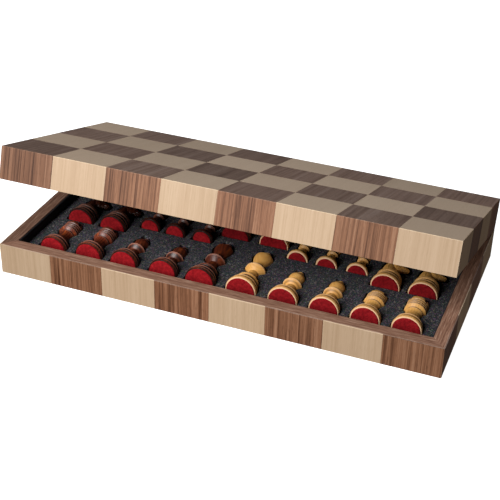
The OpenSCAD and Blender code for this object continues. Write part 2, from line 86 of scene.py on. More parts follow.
# ---------------------------------------------------------------- materials
class Nodes:
    """Short calls for building one material's node tree."""

    def __init__(self, name):
        self.mat = bpy.data.materials.new(name)
        self.mat.use_nodes = True
        self.t = self.mat.node_tree
        self.t.nodes.clear()
        self.out = self.t.nodes.new("ShaderNodeOutputMaterial")
        self.bsdf = self.t.nodes.new("ShaderNodeBsdfPrincipled")
        self.t.links.new(self.bsdf.outputs[0], self.out.inputs[0])

    def set(self, **kw):
        for k, v in kw.items():
            self.bsdf.inputs[k.replace("_", " ")].default_value = v

    def link(self, a, b):
        self.t.links.new(a, b)

    def attr(self, name, out="Vector"):
        n = self.t.nodes.new("ShaderNodeAttribute")
        n.attribute_name = name
        return n.outputs[out]

    def objco(self):
        return self.t.nodes.new("ShaderNodeTexCoord").outputs["Object"]

    def math(self, op, a, b=None, c=None, clamp=False):
        n = self.t.nodes.new("ShaderNodeMath")
        n.operation = op
        n.use_clamp = clamp
        for i, v in enumerate((a, b, c)):
            if v is None:
                continue
            if isinstance(v, (int, float)):
                n.inputs[i].default_value = v
            else:
                self.link(v, n.inputs[i])
        return n.outputs[0]

    def vmath(self, op, a, b=None):
        n = self.t.nodes.new("ShaderNodeVectorMath")
        n.operation = op
        for i, v in enumerate((a, b)):
            if v is None:
                continue
            if isinstance(v, (tuple, list)):
                n.inputs[i].default_value = v
            else:
                self.link(v, n.inputs[i])
        return n.outputs["Value"] if op in ("LENGTH", "DOT_PRODUCT") else n.outputs["Vector"]

    def noise(self, vec, scale=1.0, detail=2.0, rough=0.5, dist=0.0, out="Fac"):
        n = self.t.nodes.new("ShaderNodeTexNoise")
        n.inputs["Scale"].default_value = scale
        n.inputs["Detail"].default_value = detail
        n.inputs["Roughness"].default_value = rough
        n.inputs["Distortion"].default_value = dist
        self.link(vec, n.inputs["Vector"])
        return n.outputs[out]

    def voronoi(self, vec, scale=1.0, feature="F1", out="Distance", rand=1.0):
        n = self.t.nodes.new("ShaderNodeTexVoronoi")
        n.feature = feature
        n.inputs["Scale"].default_value = scale
        n.inputs["Randomness"].default_value = rand
        self.link(vec, n.inputs["Vector"])
        return n.outputs[out]

    def ramp(self, fac, stops, interp="LINEAR"):
        n = self.t.nodes.new("ShaderNodeValToRGB")
        n.color_ramp.interpolation = interp
        el = n.color_ramp.elements
        while len(el) < len(stops):
            el.new(0.5)
        for e, (p, c) in zip(el, stops):
            e.position = p
            e.color = (*c, 1.0) if len(c) == 3 else c
        self.link(fac, n.inputs[0])
        return n.outputs[0]

    def mapr(self, v, a, b, c, d, smooth=False):
        n = self.t.nodes.new("ShaderNodeMapRange")
        n.interpolation_type = "SMOOTHSTEP" if smooth else "LINEAR"
        for i, x in enumerate((a, b, c, d)):
            n.inputs[1 + i].default_value = x
        self.link(v, n.inputs[0])
        return n.outputs[0]

    def mix(self, fac, a, b, mode="MIX"):
        n = self.t.nodes.new("ShaderNodeMix")
        n.data_type = "RGBA"
        n.blend_type = mode
        for s, v in ((n.inputs[0], fac), (n.inputs[6], a), (n.inputs[7], b)):
            if isinstance(v, (int, float)):
                s.default_value = v
            elif isinstance(v, (tuple, list)):
                s.default_value = (*v, 1.0) if len(v) == 3 else v
            else:
                self.link(v, s)
        return n.outputs[2]

    def bump(self, height, strength=0.3, dist=0.0002, normal=None):
        n = self.t.nodes.new("ShaderNodeBump")
        n.inputs["Strength"].default_value = strength
        n.inputs["Distance"].default_value = dist
        self.link(height, n.inputs["Height"])
        if normal is not None:
            self.link(normal, n.inputs["Normal"])
        return n.outputs[0]

    def normal(self, v):
        self.link(v, self.bsdf.inputs["Normal"])

    def color(self, v):
        self.link(v, self.bsdf.inputs["Base Color"])

    def rough(self, v):
        self.link(v, self.bsdf.inputs["Roughness"])


def srgb(r, g, b):
    return tuple((c / 255 / 12.92) if c / 255 <= 0.04045 else ((c / 255 + 0.055) / 1.055) ** 2.4
                 for c in (r, g, b))


def seeded(m, scale):
    """The grain coordinates gp scaled to (along, across, through), moved by the board's seed."""
    p = m.vmath("MULTIPLY", m.attr("gp"), scale)
    off = m.t.nodes.new("ShaderNodeCombineXYZ")
    s = m.attr("gs", "Fac")
    m.link(m.math("MULTIPLY", s, 37.0), off.inputs[0])
    m.link(m.math("MULTIPLY", s, 91.0), off.inputs[1])
    m.link(m.math("MULTIPLY", s, 53.0), off.inputs[2])
    return m.vmath("ADD", p, off.outputs[0])


def veneer(name, dark, mid, light, pore, contrast=1.0, rough=0.42, pores=0.5,
           weights=(0.12, 0.52, 0.36), face=None, flat=0.0, dash=16):
    """Straight-grained veneer. face tints the board's level faces with a painted sheen, the pale bluish light they
    reflect; flat evens their figure out.
    """
    m = Nodes(name)
    bands = m.noise(seeded(m, (4, 70, 70)), detail=2, rough=0.5, dist=0.4)
    streak = m.noise(seeded(m, (6, 420, 420)), detail=2, rough=0.55, dist=0.15)
    fine = m.noise(seeded(m, (dash, 900, 900)), detail=3, rough=0.65)
    f = m.math("ADD", m.math("MULTIPLY", bands, weights[0]), m.math("MULTIPLY", streak, weights[1]))
    f = m.math("ADD", f, m.math("MULTIPLY", fine, weights[2]))
    f = m.mapr(f, 0.5 - 0.17 / contrast, 0.5 + 0.17 / contrast, 0, 1)
    if flat:
        k = m.math("MULTIPLY", m.attr("gf", "Fac"), flat)
        f = m.math("ADD", f, m.math("MULTIPLY", m.math("SUBTRACT", 0.55, f), k))
    col = m.ramp(f, [(0.0, dark), (0.30, tuple(0.5 * a + 0.5 * b for a, b in zip(dark, mid))),
                     (0.55, mid), (1.0, light)])
    pv = m.noise(seeded(m, (130, 3300, 3300)), detail=1, rough=0.5)
    pm = m.mapr(pv, 0.58, 0.72, 0, pores, smooth=True)
    col = m.mix(pm, col, pore)
    col = m.mix(1.0, col, m.attr("gt", "Color"), "MULTIPLY")
    # painted sheen: the face tint multiplies the colour of the level faces
    if face is not None:
        col = m.mix(m.attr("gf", "Fac"), col, m.mix(1.0, col, face, "MULTIPLY"))
    m.color(col)
    m.rough(m.mapr(fine, 0.3, 0.7, rough - 0.05, rough + 0.08))
    m.set(Specular_IOR_Level=0.3)
    h = m.math("SUBTRACT", m.math("MULTIPLY", fine, 0.6), m.math("MULTIPLY", pm, 0.7))
    m.normal(m.bump(h, 0.22, 0.00012))
    return m.mat


WALNUT = veneer("walnut_veneer", srgb(82, 48, 30), srgb(147, 102, 74), srgb(174, 129, 99),
                srgb(62, 36, 24), contrast=1.2, pores=0.5, weights=(0.12, 0.53, 0.35),
                face=(0.93, 1.32, 1.94), flat=0.5)
# paler eased edges: edge wear, and a painted highlight where the arris catches the light
WALNUT_EDGE_WEAR_SHEEN = veneer("walnut_edge_wear_sheen", srgb(112, 76, 55), srgb(154, 114, 88), srgb(192, 154, 128),
                      srgb(84, 54, 38), contrast=1.1, rough=0.55, pores=0.4,
                      face=(0.80, 1.0, 1.3))
MAPLE = veneer("maple_veneer", srgb(187, 155, 122), srgb(206, 176, 144), srgb(217, 189, 158),
               srgb(170, 137, 102), contrast=0.7, rough=0.42, pores=0.30,
               weights=(0.25, 0.32, 0.43), face=(1.05, 1.12, 1.25), flat=0.6)
# paler eased edges of maple: edge wear, and a painted highlight on the arris
MAPLE_EDGE_WEAR_SHEEN = veneer("maple_edge_wear_sheen", srgb(208, 179, 145), srgb(226, 198, 164), srgb(236, 212, 180),
                     srgb(198, 166, 130), contrast=0.6, rough=0.55, pores=0.15)
RIM = veneer("walnut_rim", srgb(106, 72, 55), srgb(153, 113, 92), srgb(192, 155, 133),
             srgb(80, 52, 38), contrast=1.1, rough=0.48, pores=0.5, weights=(0.10, 0.25, 0.65),
             dash=60)
# paler eased edges of the rim: edge wear, and a painted highlight on the arris
RIM_EDGE_WEAR_SHEEN = veneer("walnut_rim_edge_wear_sheen", srgb(150, 112, 92), srgb(186, 150, 128),
                   srgb(214, 184, 164), srgb(120, 86, 68), contrast=0.9, rough=0.55, pores=0.2,
                   dash=60)
PLY = veneer("plywood", srgb(168, 136, 100), srgb(190, 160, 122), srgb(206, 178, 140),
             srgb(150, 118, 84), contrast=0.8, rough=0.6, pores=0.3)


def turned(name, dark, mid, light, groove_shade, rough, coat, highlight_col, contrast=1.0, flame=None,
           foot=0.0, glint_and_cut_shade=(0.3, 0.5)):
    """Polished turned wood: growth layers cut by the lathe, fine pores, painted shade in grooves, cuts and behind
    rings, with wax in the cuts, and painted glints on the crests.
    """
    m = Nodes(name)
    # growth layers: distance from a pith line well off the piece, wavy along the height
    wob = m.noise(seeded(m, (40, 40, 14)), detail=2, rough=0.5, out="Color")
    p = m.vmath("ADD", m.attr("gp"), m.vmath("MULTIPLY", m.vmath("SUBTRACT", wob, (0.5, 0.5, 0.5)),
                                             (0.006, 0.006, 0.0)))
    p = m.vmath("ADD", m.vmath("MULTIPLY", p, (1, 1, 0.06)), (0.031, 0.012, 0.0))
    rad = m.vmath("LENGTH", p)
    rings = m.math("SINE", m.math("MULTIPLY", rad, 2900.0))
    rings = m.mapr(rings, -1, 1, 0, 1)
    fibre = m.noise(seeded(m, (900, 900, 42)), detail=3, rough=0.6)
    cloud = m.noise(seeded(m, (110, 110, 30)), detail=2, rough=0.5)
    f = m.math("ADD", m.math("MULTIPLY", rings, 0.22), m.math("MULTIPLY", fibre, 0.30))
    f = m.math("ADD", f, m.math("MULTIPLY", cloud, 0.48))
    f = m.mapr(f, 0.5 - 0.30 / contrast, 0.5 + 0.30 / contrast, 0, 1)
    col = m.ramp(f, [(0.0, dark), (0.5, mid), (1.0, light)])
    if flame is not None:
        fl = m.noise(seeded(m, (260, 260, 16)), detail=2, rough=0.55, dist=0.6)
        col = m.mix(m.mapr(fl, 0.50, 0.72, 0, 0.45, smooth=True), col, flame)
    # painted shade: darkens towards the groove shade colour in grooves and behind rings
    cavity_shade = m.attr("painted_cavity_shade", "Fac")
    col = m.mix(m.mapr(cavity_shade, 0.0, 1.0, 0, 0.9), col, groove_shade)
    col = m.mix(1.0, col, m.attr("gt", "Color"), "MULTIPLY")
    # painted highlight on the crests of the rings
    col = m.mix(m.attr("painted_crest_highlight", "Fac"), col, highlight_col)
    # painted glints along the bead crests
    col = m.mix(m.math("MULTIPLY", m.attr("painted_bead_glint", "Fac"), glint_and_cut_shade[0]), col, highlight_col)
    # painted shade, with wax, along the fine cuts
    col = m.mix(m.math("MULTIPLY", m.attr("cut_wax_and_shade", "Fac"), glint_and_cut_shade[1]), col, groove_shade)
    # the foot's band next to the felt: paler on boxwood, a painted highlight on the chamfer together with its bare end
    # grain; darker on rosewood
    edge = m.math("MULTIPLY", m.attr("gb", "Fac"), abs(foot))
    col = m.mix(edge, col, highlight_col if foot > 0 else groove_shade)
    m.color(col)
    m.rough(m.mapr(fibre, 0.3, 0.7, rough - 0.04, rough + 0.06))
    m.set(Specular_IOR_Level=0.4, Coat_Weight=coat, Coat_Roughness=0.30)
    m.normal(m.bump(fibre, 0.08, 0.00006))
    return m.mat


# the fourth colour paints shade in grooves, cuts and behind rings; the last colour paints the highlights on crests and
# beads
BOXWOOD = turned("boxwood_turned", srgb(204, 143, 68), srgb(224, 164, 86), srgb(236, 184, 108),
                 srgb(104, 62, 20), 0.48, 0.06, srgb(250, 208, 166), contrast=0.8, foot=0.85,
                 glint_and_cut_shade=(0.30, 0.62))
ROSEWOOD = turned("rosewood_turned", srgb(54, 19, 12), srgb(98, 41, 23), srgb(146, 68, 34),
                  srgb(20, 7, 6), 0.38, 0.15, srgb(200, 140, 120), contrast=0.9,
                  flame=srgb(190, 92, 38), foot=-0.8, glint_and_cut_shade=(0.55, 0.85))


def felt_material():
    m = Nodes("felt_crimson")
    co = m.attr("gp")
    fib = m.noise(m.vmath("MULTIPLY", co, (1500, 1500, 1500)), detail=3, rough=0.7, dist=0.6)
    mot = m.noise(m.vmath("MULTIPLY", co, (330, 330, 330)), detail=2, rough=0.6)
    f = m.math("ADD", m.math("MULTIPLY", fib, 0.5), m.math("MULTIPLY", mot, 0.5))
    col = m.ramp(m.mapr(f, 0.34, 0.66, 0, 1), [(0.0, srgb(98, 7, 12)), (0.5, srgb(140, 17, 24)),
                                               (1.0, srgb(172, 33, 38))])
    m.color(m.mix(1.0, col, m.attr("gt", "Color"), "MULTIPLY"))
    m.set(Roughness=0.95, Specular_IOR_Level=0.12, Sheen_Weight=0.25, Sheen_Roughness=0.5)
    m.bsdf.inputs["Sheen Tint"].default_value = (*srgb(225, 90, 95), 1)
    m.normal(m.bump(fib, 0.5, 0.00025))
    return m.mat


FELT = felt_material()


def foam_material(name, base, lo, speck_a, speck_b, amount=0.55):
    m = Nodes(name)
    co = m.objco()
    jit = m.noise(m.vmath("MULTIPLY", co, (900, 900, 900)), detail=1, out="Color")
    p = m.vmath("ADD", co, m.vmath("MULTIPLY", jit, (0.0005, 0.0005, 0.0005)))
    grain = m.noise(m.vmath("MULTIPLY", p, (1150, 1150, 1150)), detail=2, rough=0.75)
    cells = m.voronoi(m.vmath("MULTIPLY", p, (1000, 1000, 1000)), out="Distance")
    pick = m.voronoi(m.vmath("MULTIPLY", p, (1150, 1150, 1150)), out="Color")
    sep = m.t.nodes.new("ShaderNodeSeparateColor")
    m.link(pick, sep.inputs[0])
    col = m.ramp(m.mapr(grain, 0.34, 0.66, 0, 1), [(0.0, lo), (0.5, base), (1.0, speck_a)])
    hit = m.mapr(sep.outputs[0], 0.72, 0.86, 0, amount)
    col = m.mix(hit, col, m.mix(sep.outputs[1], speck_a, speck_b))
    low = m.mapr(sep.outputs[2], 0.75, 0.9, 0, 0.55)
    col = m.mix(low, col, lo)
    col = m.mix(0.42, col, pick, "SOFT_LIGHT")
    m.color(col)
    m.set(Roughness=0.95, Specular_IOR_Level=0.15)
    h = m.math("ADD", m.math("MULTIPLY", cells, 0.6), m.math("MULTIPLY", grain, 0.6))
    m.normal(m.bump(h, 0.55, 0.0006))
    return m.mat


FOAM = foam_material("foam_charcoal", srgb(58, 58, 61), srgb(30, 31, 34), srgb(90, 90, 96),
                     srgb(124, 128, 140), 0.7)
PADFOAM = foam_material("foam_pad_charcoal", srgb(56, 57, 61), srgb(32, 33, 36), srgb(82, 84, 90),
                        srgb(104, 110, 120), 0.4)


def card_material():
    m = Nodes("black_flocked_card")
    co = m.objco()
    n = m.noise(m.vmath("MULTIPLY", co, (2200, 2200, 2200)), detail=3, rough=0.7)
    m.color(m.ramp(m.mapr(n, 0.3, 0.7, 0, 1), [(0.0, srgb(12, 12, 14)), (1.0, srgb(34, 34, 38))]))
    m.set(Roughness=0.9, Specular_IOR_Level=0.15, Sheen_Weight=0.12, Sheen_Roughness=0.5)
    m.normal(m.bump(n, 0.4, 0.0002))
    return m.mat


CARD = card_material()


def metal(name, lo, hi, rough):
    m = Nodes(name)
    co = m.objco()
    n = m.noise(m.vmath("MULTIPLY", co, (120, 2600, 2600)), detail=3, rough=0.6)
    s = m.noise(m.vmath("MULTIPLY", co, (180, 180, 180)), detail=3, rough=0.5)
    m.color(m.ramp(m.mapr(s, 0.35, 0.65, 0, 1), [(0.0, lo), (1.0, hi)]))
    m.rough(m.mapr(n, 0.3, 0.7, rough - 0.06, rough + 0.10))
    m.set(Metallic=1.0)
    m.normal(m.bump(n, 0.15, 0.00005))
    return m.mat


BRASS = metal("brass_satin", srgb(166, 130, 74), srgb(196, 162, 102), 0.42)
STEEL = metal("steel_bright", srgb(150, 152, 156), srgb(196, 198, 202), 0.26)


# ---------------------------------------------------------------- mesh tools
def new_object(name, mesh):
    o = bpy.data.objects.new(name, mesh)
    bpy.context.scene.collection.objects.link(o)
    return o


def apply_modifiers(o):
    dg = bpy.context.evaluated_depsgraph_get()
    me = bpy.data.meshes.new_from_object(o.evaluated_get(dg))
    o.modifiers.clear()
    old = o.data
    o.data = me
    bpy.data.meshes.remove(old)


def cut(o, cutter, op="DIFFERENCE", own=False):
    b = o.modifiers.new("cut", "BOOLEAN")
    b.operation = op
    b.object = cutter
    b.solver = "EXACT"
    b.use_self = own
    apply_modifiers(o)


def box_mesh(x0, x1, y0, y1, z0, z1, bevels=()):
    """A box in mm. bevels: (test(midpoint) -> bool, width, segments)."""
    bm = bmesh.new()
    bmesh.ops.create_cube(bm, size=1.0)
    for v in bm.verts:
        v.co = Vector((x0 + (v.co.x + 0.5) * (x1 - x0), y0 + (v.co.y + 0.5) * (y1 - y0),
                       z0 + (v.co.z + 0.5) * (z1 - z0)))
    for test, w, seg in bevels:
        es = [e for e in bm.edges if e.calc_length() > 0.01
              and test((e.verts[0].co + e.verts[1].co) / 2)]
        if es:
            bmesh.ops.bevel(bm, geom=es, offset=w, segments=seg, profile=0.5,
                            affect="EDGES", material=1, clamp_overlap=True)
    me = bpy.data.meshes.new("box")
    bm.to_mesh(me)
    bm.free()
    return me


def set_attr(me, name, kind, domain, values):
    a = me.attributes.get(name)
    if a is not None:
        me.attributes.remove(a)
    a = me.attributes.new(name, kind, domain)
    key = {"FLOAT": "value", "FLOAT_VECTOR": "vector", "FLOAT_COLOR": "color"}[kind]
    a.data.foreach_set(key, np.asarray(values, dtype=np.float32).ravel())


def corner_data(me):
    """(vertex position per corner in mm, face normal per corner, face index per corner)."""
    n = len(me.vertices)
    co = np.empty(n * 3, np.float32)
    me.vertices.foreach_get("co", co)
    co = co.reshape(-1, 3)
    vi = np.empty(len(me.loops), np.int32)
    me.loops.foreach_get("vertex_index", vi)
    fn = np.empty(len(me.polygons) * 3, np.float32)
    me.polygons.foreach_get("normal", fn)
    fn = fn.reshape(-1, 3)
    tot = np.empty(len(me.polygons), np.int32)
    me.polygons.foreach_get("loop_total", tot)
    fi = np.repeat(np.arange(len(tot)), tot)
    return co[vi], fn[fi], fi


def grain(me, along, seed, tint):
    """Writes gp, gs and gt. along: None for board veneer (face grain front to back, edges upright),
    or 0, 1, 2 for the axis the grain runs along. Positions are the mesh's own mm."""
    p, n, _ = corner_data(me)
    a = np.abs(n)
    gp = np.empty_like(p)
    if along is None:
        ax = np.argmax(a, axis=1)
        top = ax == 2
        fr = ax == 1
        sd = ax == 0
        gp[top] = p[top][:, [1, 0, 2]]
        gp[fr] = p[fr][:, [2, 0, 1]]
        gp[sd] = p[sd][:, [2, 1, 0]]
    else:
        order = {0: [0, 1, 2], 1: [1, 0, 2], 2: [2, 0, 1]}[along]
        gp = p[:, order]
    set_attr(me, "gp", "FLOAT_VECTOR", "CORNER", gp * MM)
    set_attr(me, "gf", "FLOAT", "CORNER", (a[:, 2] > 0.8).astype(np.float32))
    set_attr(me, "gs", "FLOAT", "CORNER", np.full(len(p), seed))
    set_attr(me, "gt", "FLOAT_COLOR", "CORNER", np.tile(np.array([*tint, 1.0]), (len(p), 1)))


def merge(name, meshes, mats):
    """Joins meshes that carry the same attributes into one object."""
    verts, loops, totals, mat, smooth = [], [], [], [], []
    attrs = {}
    base = 0
    for me in meshes:
        n = len(me.vertices)
        co = np.empty(n * 3, np.float32)
        me.vertices.foreach_get("co", co)
        verts.append(co.reshape(-1, 3))
        vi = np.empty(len(me.loops), np.int32)
        me.loops.foreach_get("vertex_index", vi)
        loops.append(vi + base)
        tot = np.empty(len(me.polygons), np.int32)
        me.polygons.foreach_get("loop_total", tot)
        totals.append(tot)
        mi = np.empty(len(me.polygons), np.int32)
        me.polygons.foreach_get("material_index", mi)
        mat.append(mi)
        for k, kind, w in (("gp", "vector", 3), ("gs", "value", 1), ("gf", "value", 1),
                           ("gt", "color", 4)):
            a = me.attributes.get(k)
            if a is None:
                continue
            d = np.empty(len(a.data) * w, np.float32)
            a.data.foreach_get(kind, d)
            attrs.setdefault(k, []).append(d)
        base += n
    me = bpy.data.meshes.new(name)
    V = np.concatenate(verts)
    L = np.concatenate(loops)
    T = np.concatenate(totals)
    me.vertices.add(len(V))
    me.vertices.foreach_set("co", V.ravel())
    me.loops.add(len(L))
    me.loops.foreach_set("vertex_index", L)
    me.polygons.add(len(T))
    start = np.concatenate([[0], np.cumsum(T)[:-1]]).astype(np.int32)
    me.polygons.foreach_set("loop_start", start)
    me.polygons.foreach_set("loop_total", T)
    me.polygons.foreach_set("material_index", np.concatenate(mat))
    me.update(calc_edges=True)
    me.validate()
    for k, kind, data in (("gp", "FLOAT_VECTOR", "vector"), ("gs", "FLOAT", "value"),
                          ("gf", "FLOAT", "value"), ("gt", "FLOAT_COLOR", "color")):
        if k in attrs:
            set_attr(me, k, kind, "CORNER", np.concatenate(attrs[k]))
    for m in mats:
        me.materials.append(m)
    for m in meshes:
        bpy.data.meshes.remove(m)
    return new_object(name, me)


def place(o, matrix=None):
    """Moves a mesh built in mm to its place in the row frame, in metres."""
    m = Matrix.Scale(MM, 4) @ (matrix if matrix is not None else Matrix.Identity(4))
    o.data.transform(m)
    if m.determinant() < 0:
        o.data.flip_normals()
    o.data.update()


def settle(o, body, slot, *nodes):
    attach(o, body)
    if nodes:
        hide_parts(*nodes)
    return o


def shade(o, angle=35, flat=0.0):
    """Smooth shading with sharp creases above the angle, kept in the mesh. Faces larger than
    flat, in square metres, keep their own normal, so an eased edge doesn't bend their light."""
    me = o.data
    area = np.empty(len(me.polygons), np.float32)
    me.polygons.foreach_get("area", area)
    me.polygons.foreach_set("use_smooth", area < flat if flat else np.ones(len(area), bool))
    bm = bmesh.new()
    bm.from_mesh(me)
    lim = math.radians(angle)
    for e in bm.edges:
        e.smooth = not (len(e.link_faces) == 2 and e.calc_face_angle(0) > lim)
    bm.to_mesh(me)
    bm.free()


# ---------------------------------------------------------------- camera
R_RIGHT = Vector((0.93251437, 0.36041575, 0.02274742))
R_DOWN = Vector((0.20686022, -0.48146063, -0.85170683))
R_FWD = Vector((-0.29601657, 0.79893439, -0.52352463))
cam_data = bpy.data.cameras.new("camera")
cam_data.sensor_width = 36
cam_data.lens = 84.35
cam_data.clip_start = 0.01
cam = bpy.data.objects.new("camera", cam_data)
bpy.context.scene.collection.objects.link(cam)
M = Matrix.Identity(4)
for r in range(3):
    M[r][0] = R_RIGHT[r]
    M[r][1] = -R_DOWN[r]
    M[r][2] = -R_FWD[r]
M[0][3], M[1][3], M[2][3] = 0.312626, -0.847701, 0.570004
cam.matrix_world = M
bpy.context.scene.camera = cam


# ---------------------------------------------------------------- veneer squares
def relief_cutter(cx):
    """The round relief along the pivot, in the half's own frame."""
    bm = bmesh.new()
    bmesh.ops.create_cone(bm, cap_ends=True, segments=48, radius1=2.8, radius2=2.8, depth=41.6)
    bmesh.ops.rotate(bm, verts=bm.verts, matrix=Matrix.Rotation(math.pi / 2, 3, "Y"))
    bmesh.ops.translate(bm, verts=bm.verts, vec=(cx, PIVOT_Y, PIVOT_Z))
    me = bpy.data.meshes.new("relief")
    bm.to_mesh(me)
    bm.free()
    return new_object("relief", me)


def veneer_half(half, parity, name, mats):
    meshes = []
    reliefs = {}
    for i in range(8):
        for j in range(4):
            if (i + j) % 2 != parity:
                continue
            left, right = i == 0, i == 7
            front, back = j == 0, j == 3
            x0 = -PX if left else -PX + i * SQ + CRACK
            x1 = PX if right else -PX + (i + 1) * SQ - CRACK
            y0 = Y_FRONT if front else Y_FRONT + j * SQ + CRACK
            y1 = Y_BACK if back else Y_FRONT + (j + 1) * SQ - CRACK
            edge = left or right or front or back

            def outer(c, x0=x0, x1=x1, y0=y0, y1=y1):
                # an arris of the case: where two of its outer faces meet
                k = 0
                if left and c.x < x0 + 0.02: k += 1
                if right and c.x > x1 - 0.02: k += 1
                if front and c.y < y0 + 0.02: k += 1
                if back and c.y > y1 - 0.02: k += 1
                if c.z < 0.02: k += 1
                return k >= 2

            def open_edge(c, x0=x0, x1=x1, y0=y0, y1=y1):
                # the arris round the open side of the half
                return c.z > HALF_H - 0.02 and (
                    (left and c.x < x0 + 0.02) or (right and c.x > x1 - 0.02)
                    or (front and c.y < y0 + 0.02) or (back and c.y > y1 - 0.02))

            h = HALF_H if edge else VENEER_T
            # the eased edges take the second material, paler for edge wear and a painted highlight
            me = box_mesh(x0, x1, y0, y1, 0, h, bevels=(
                (outer, 0.45, 3), (open_edge, 0.32, 2)) if edge else ())
            # the small broken edges along the joints
            o = new_object("sq", me)
            if edge:
                cx0 = x0 + VENEER_T if left else x0 - 5
                cx1 = x1 - VENEER_T if right else x1 + 5
                cy0 = y0 + VENEER_T if front else y0 - 5
                cy1 = y1 - VENEER_T if back else y1 + 5
                c = new_object("c", box_mesh(cx0, cx1, cy0, cy1, VENEER_T, 60))
                cut(o, c)
                bpy.data.objects.remove(c)
                if back and i in (1, 6):
                    cx = -2.5 * SQ if i == 1 else 2.5 * SQ
                    if cx not in reliefs:
                        reliefs[cx] = relief_cutter(cx)
                    cut(o, reliefs[cx])
            bm = bmesh.new()
            bm.from_mesh(o.data)
            es = []
            for e in bm.edges:
                if len(e.link_faces) != 2 or e.calc_length() < 1.5:
                    continue
                a, b = e.verts[0].co, e.verts[1].co
                c = (a + b) / 2
                if e.calc_face_angle(0) < math.radians(60):
                    continue
                # only edges that lie on an outer face
                onface = c.z < 0.01 or (left and c.x < x0 + 0.01) or (right and c.x > x1 - 0.01) \
                    or (front and c.y < y0 + 0.01) or (back and c.y > y1 - 0.01)
                if onface:
                    es.append(e)
            if es:
                bmesh.ops.bevel(bm, geom=es, offset=0.12, segments=2, profile=0.5,
                                affect="EDGES", material=1, clamp_overlap=True)
            bm.to_mesh(o.data)
            bm.free()
            seed = noise01(i, j, half, 3) * 0.9 + 0.05
            tone = noise01((5 * i + 886 if half else 19 * i + 1137) + 211 * j)
            if parity == (0 if half else 1):      # walnut: more spread from square to square
                b = 0.74 + 0.32 * tone ** 0.6
                w = 0.98 + 0.05 * noise01(i, j, half, 6)
            else:
                b = 0.86 + 0.16 * tone
                w = 0.99 + 0.02 * noise01(i, j, half, 6)
            grain(o.data, None, seed, (b, b * (2 - w) if w > 1 else b, b * (2 - w)))
            me = o.data
            bpy.data.objects.remove(o)
            meshes.append(me)
    for r in reliefs.values():
        bpy.data.objects.remove(r)
    o = merge(name, meshes, mats)
    return o


def crease(o):
    shade(o, 35, 6e-6)


for half, parity, wood in ((0, 1, "walnut"), (0, 0, "maple"), (1, 0, "walnut"), (1, 1, "maple")):
    side = "lid" if half else "tray"
    # second material: the eased edges, with edge wear and a painted highlight
    mats = (WALNUT, WALNUT_EDGE_WEAR_SHEEN) if wood == "walnut" else (MAPLE, MAPLE_EDGE_WEAR_SHEEN)
    o = veneer_half(half, parity, f"{side}_{wood}_veneer", mats)
    place(o, LID if half else None)
    crease(o)
    settle(o, side, wood, f"{side}_{wood}_squares")


# ---------------------------------------------------------------- walls, panels, lining, hinges
LID_M = Matrix.Scale(MM, 4) @ LID @ Matrix.Scale(1 / MM, 4)
LID_INV = LID_M.inverted()


def bevelled(node, name, body, slot, mats, along=0, width=0.3, seg=2, angle=30, seed=0.5,
             tint=(1, 1, 1), in_lid=False, min_len=0.0, run=None):
    """A copy of a CAD node's shape with its edges eased, as a new piece that replaces it."""
    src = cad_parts[node]
    me = src.data.copy()
    me.materials.clear()
    me.name = name
    bm = bmesh.new()
    bm.from_mesh(me)
    bmesh.ops.transform(bm, matrix=src.matrix_world, verts=bm.verts)
    if in_lid:
        bmesh.ops.transform(bm, matrix=LID_INV, verts=bm.verts)
    bmesh.ops.scale(bm, vec=(1000, 1000, 1000), verts=bm.verts)
    bmesh.ops.remove_doubles(bm, verts=bm.verts, dist=0.002)
    bmesh.ops.recalc_face_normals(bm, faces=bm.faces)
    bmesh.ops.dissolve_limit(bm, angle_limit=math.radians(0.6), verts=bm.verts, edges=bm.edges,
                             delimit={"NORMAL"})
    for f in bm.faces:
        f.material_index = 0
    lim = math.radians(angle)
    es = [e for e in bm.edges if len(e.link_faces) == 2 and e.calc_face_angle(0) > lim
          and e.is_convex and e.calc_length() > min_len]
    if run is not None:
        es = [e for e in es
              if abs((e.verts[0].co - e.verts[1].co).normalized()[run]) > 0.99]
    if es and width > 0:
        bmesh.ops.bevel(bm, geom=es, offset=width, segments=seg, profile=0.5, affect="EDGES",
                        material=1 if len(mats) > 1 else -1, clamp_overlap=True)
    bm.to_mesh(me)
    bm.free()
    while len(me.attributes) and any(a.name.startswith("custom") for a in me.attributes):
        for a in me.attributes:
            if a.name.startswith("custom"):
                me.attributes.remove(a)
                break
    grain(me, along, seed, tint)
    for m in mats:
        me.materials.append(m)
    o = new_object(name, me)
    place(o, LID if in_lid else None)
    shade(o, 35, 6e-6)
    return settle(o, body, slot, node)


for side, lid in (("tray", False), ("lid", True)):
    for k, (w, ax) in enumerate((("front", 0), ("back", 0), ("left", 1), ("right", 1))):
        t = 0.95 + 0.1 * noise01(k, lid, 9)
        # the tray's rails take listed tones that paint how the light falls on each: painted shade on the back rail
        # and, deepest, on the left rail
        if not lid:
            t = (0.98, 0.9, 0.6, 1.1)[k]
        bevelled(f"{side}_{w}_wall", f"{side}_{w}_rail", side, "walnut", (RIM, RIM_EDGE_WEAR_SHEEN if w == "front" else RIM), ax,
                 0.3, 2, 40, 0.11 + 0.2 * k + 0.07 * lid, (t, t, t), lid, 3.0, ax)
    panel = "lid_top_panel" if lid else "tray_bottom_panel"
    bevelled(panel, f"{side}_plywood", side, "plywood", (PLY,), 0, 0.15, 1, 40, 0.4, (1, 1, 1), lid)
    bevelled(f"{side}_lining", f"{side}_lining_strips", side, "lining", (CARD,), 0, 0.25, 2, 40,
             0.4, (1, 1, 1), lid)
    bevelled(f"{side}_magnets", f"{side}_magnet_discs", side, "steel", (STEEL,), 0, 0.2, 2, 50,
             0.4, (1, 1, 1), lid)
    bevelled(f"{side}_hinge_screws", f"{side}_screws", side, "brass", (BRASS,), 0, 0.06, 1, 40,
             0.4, (1, 1, 1), lid)
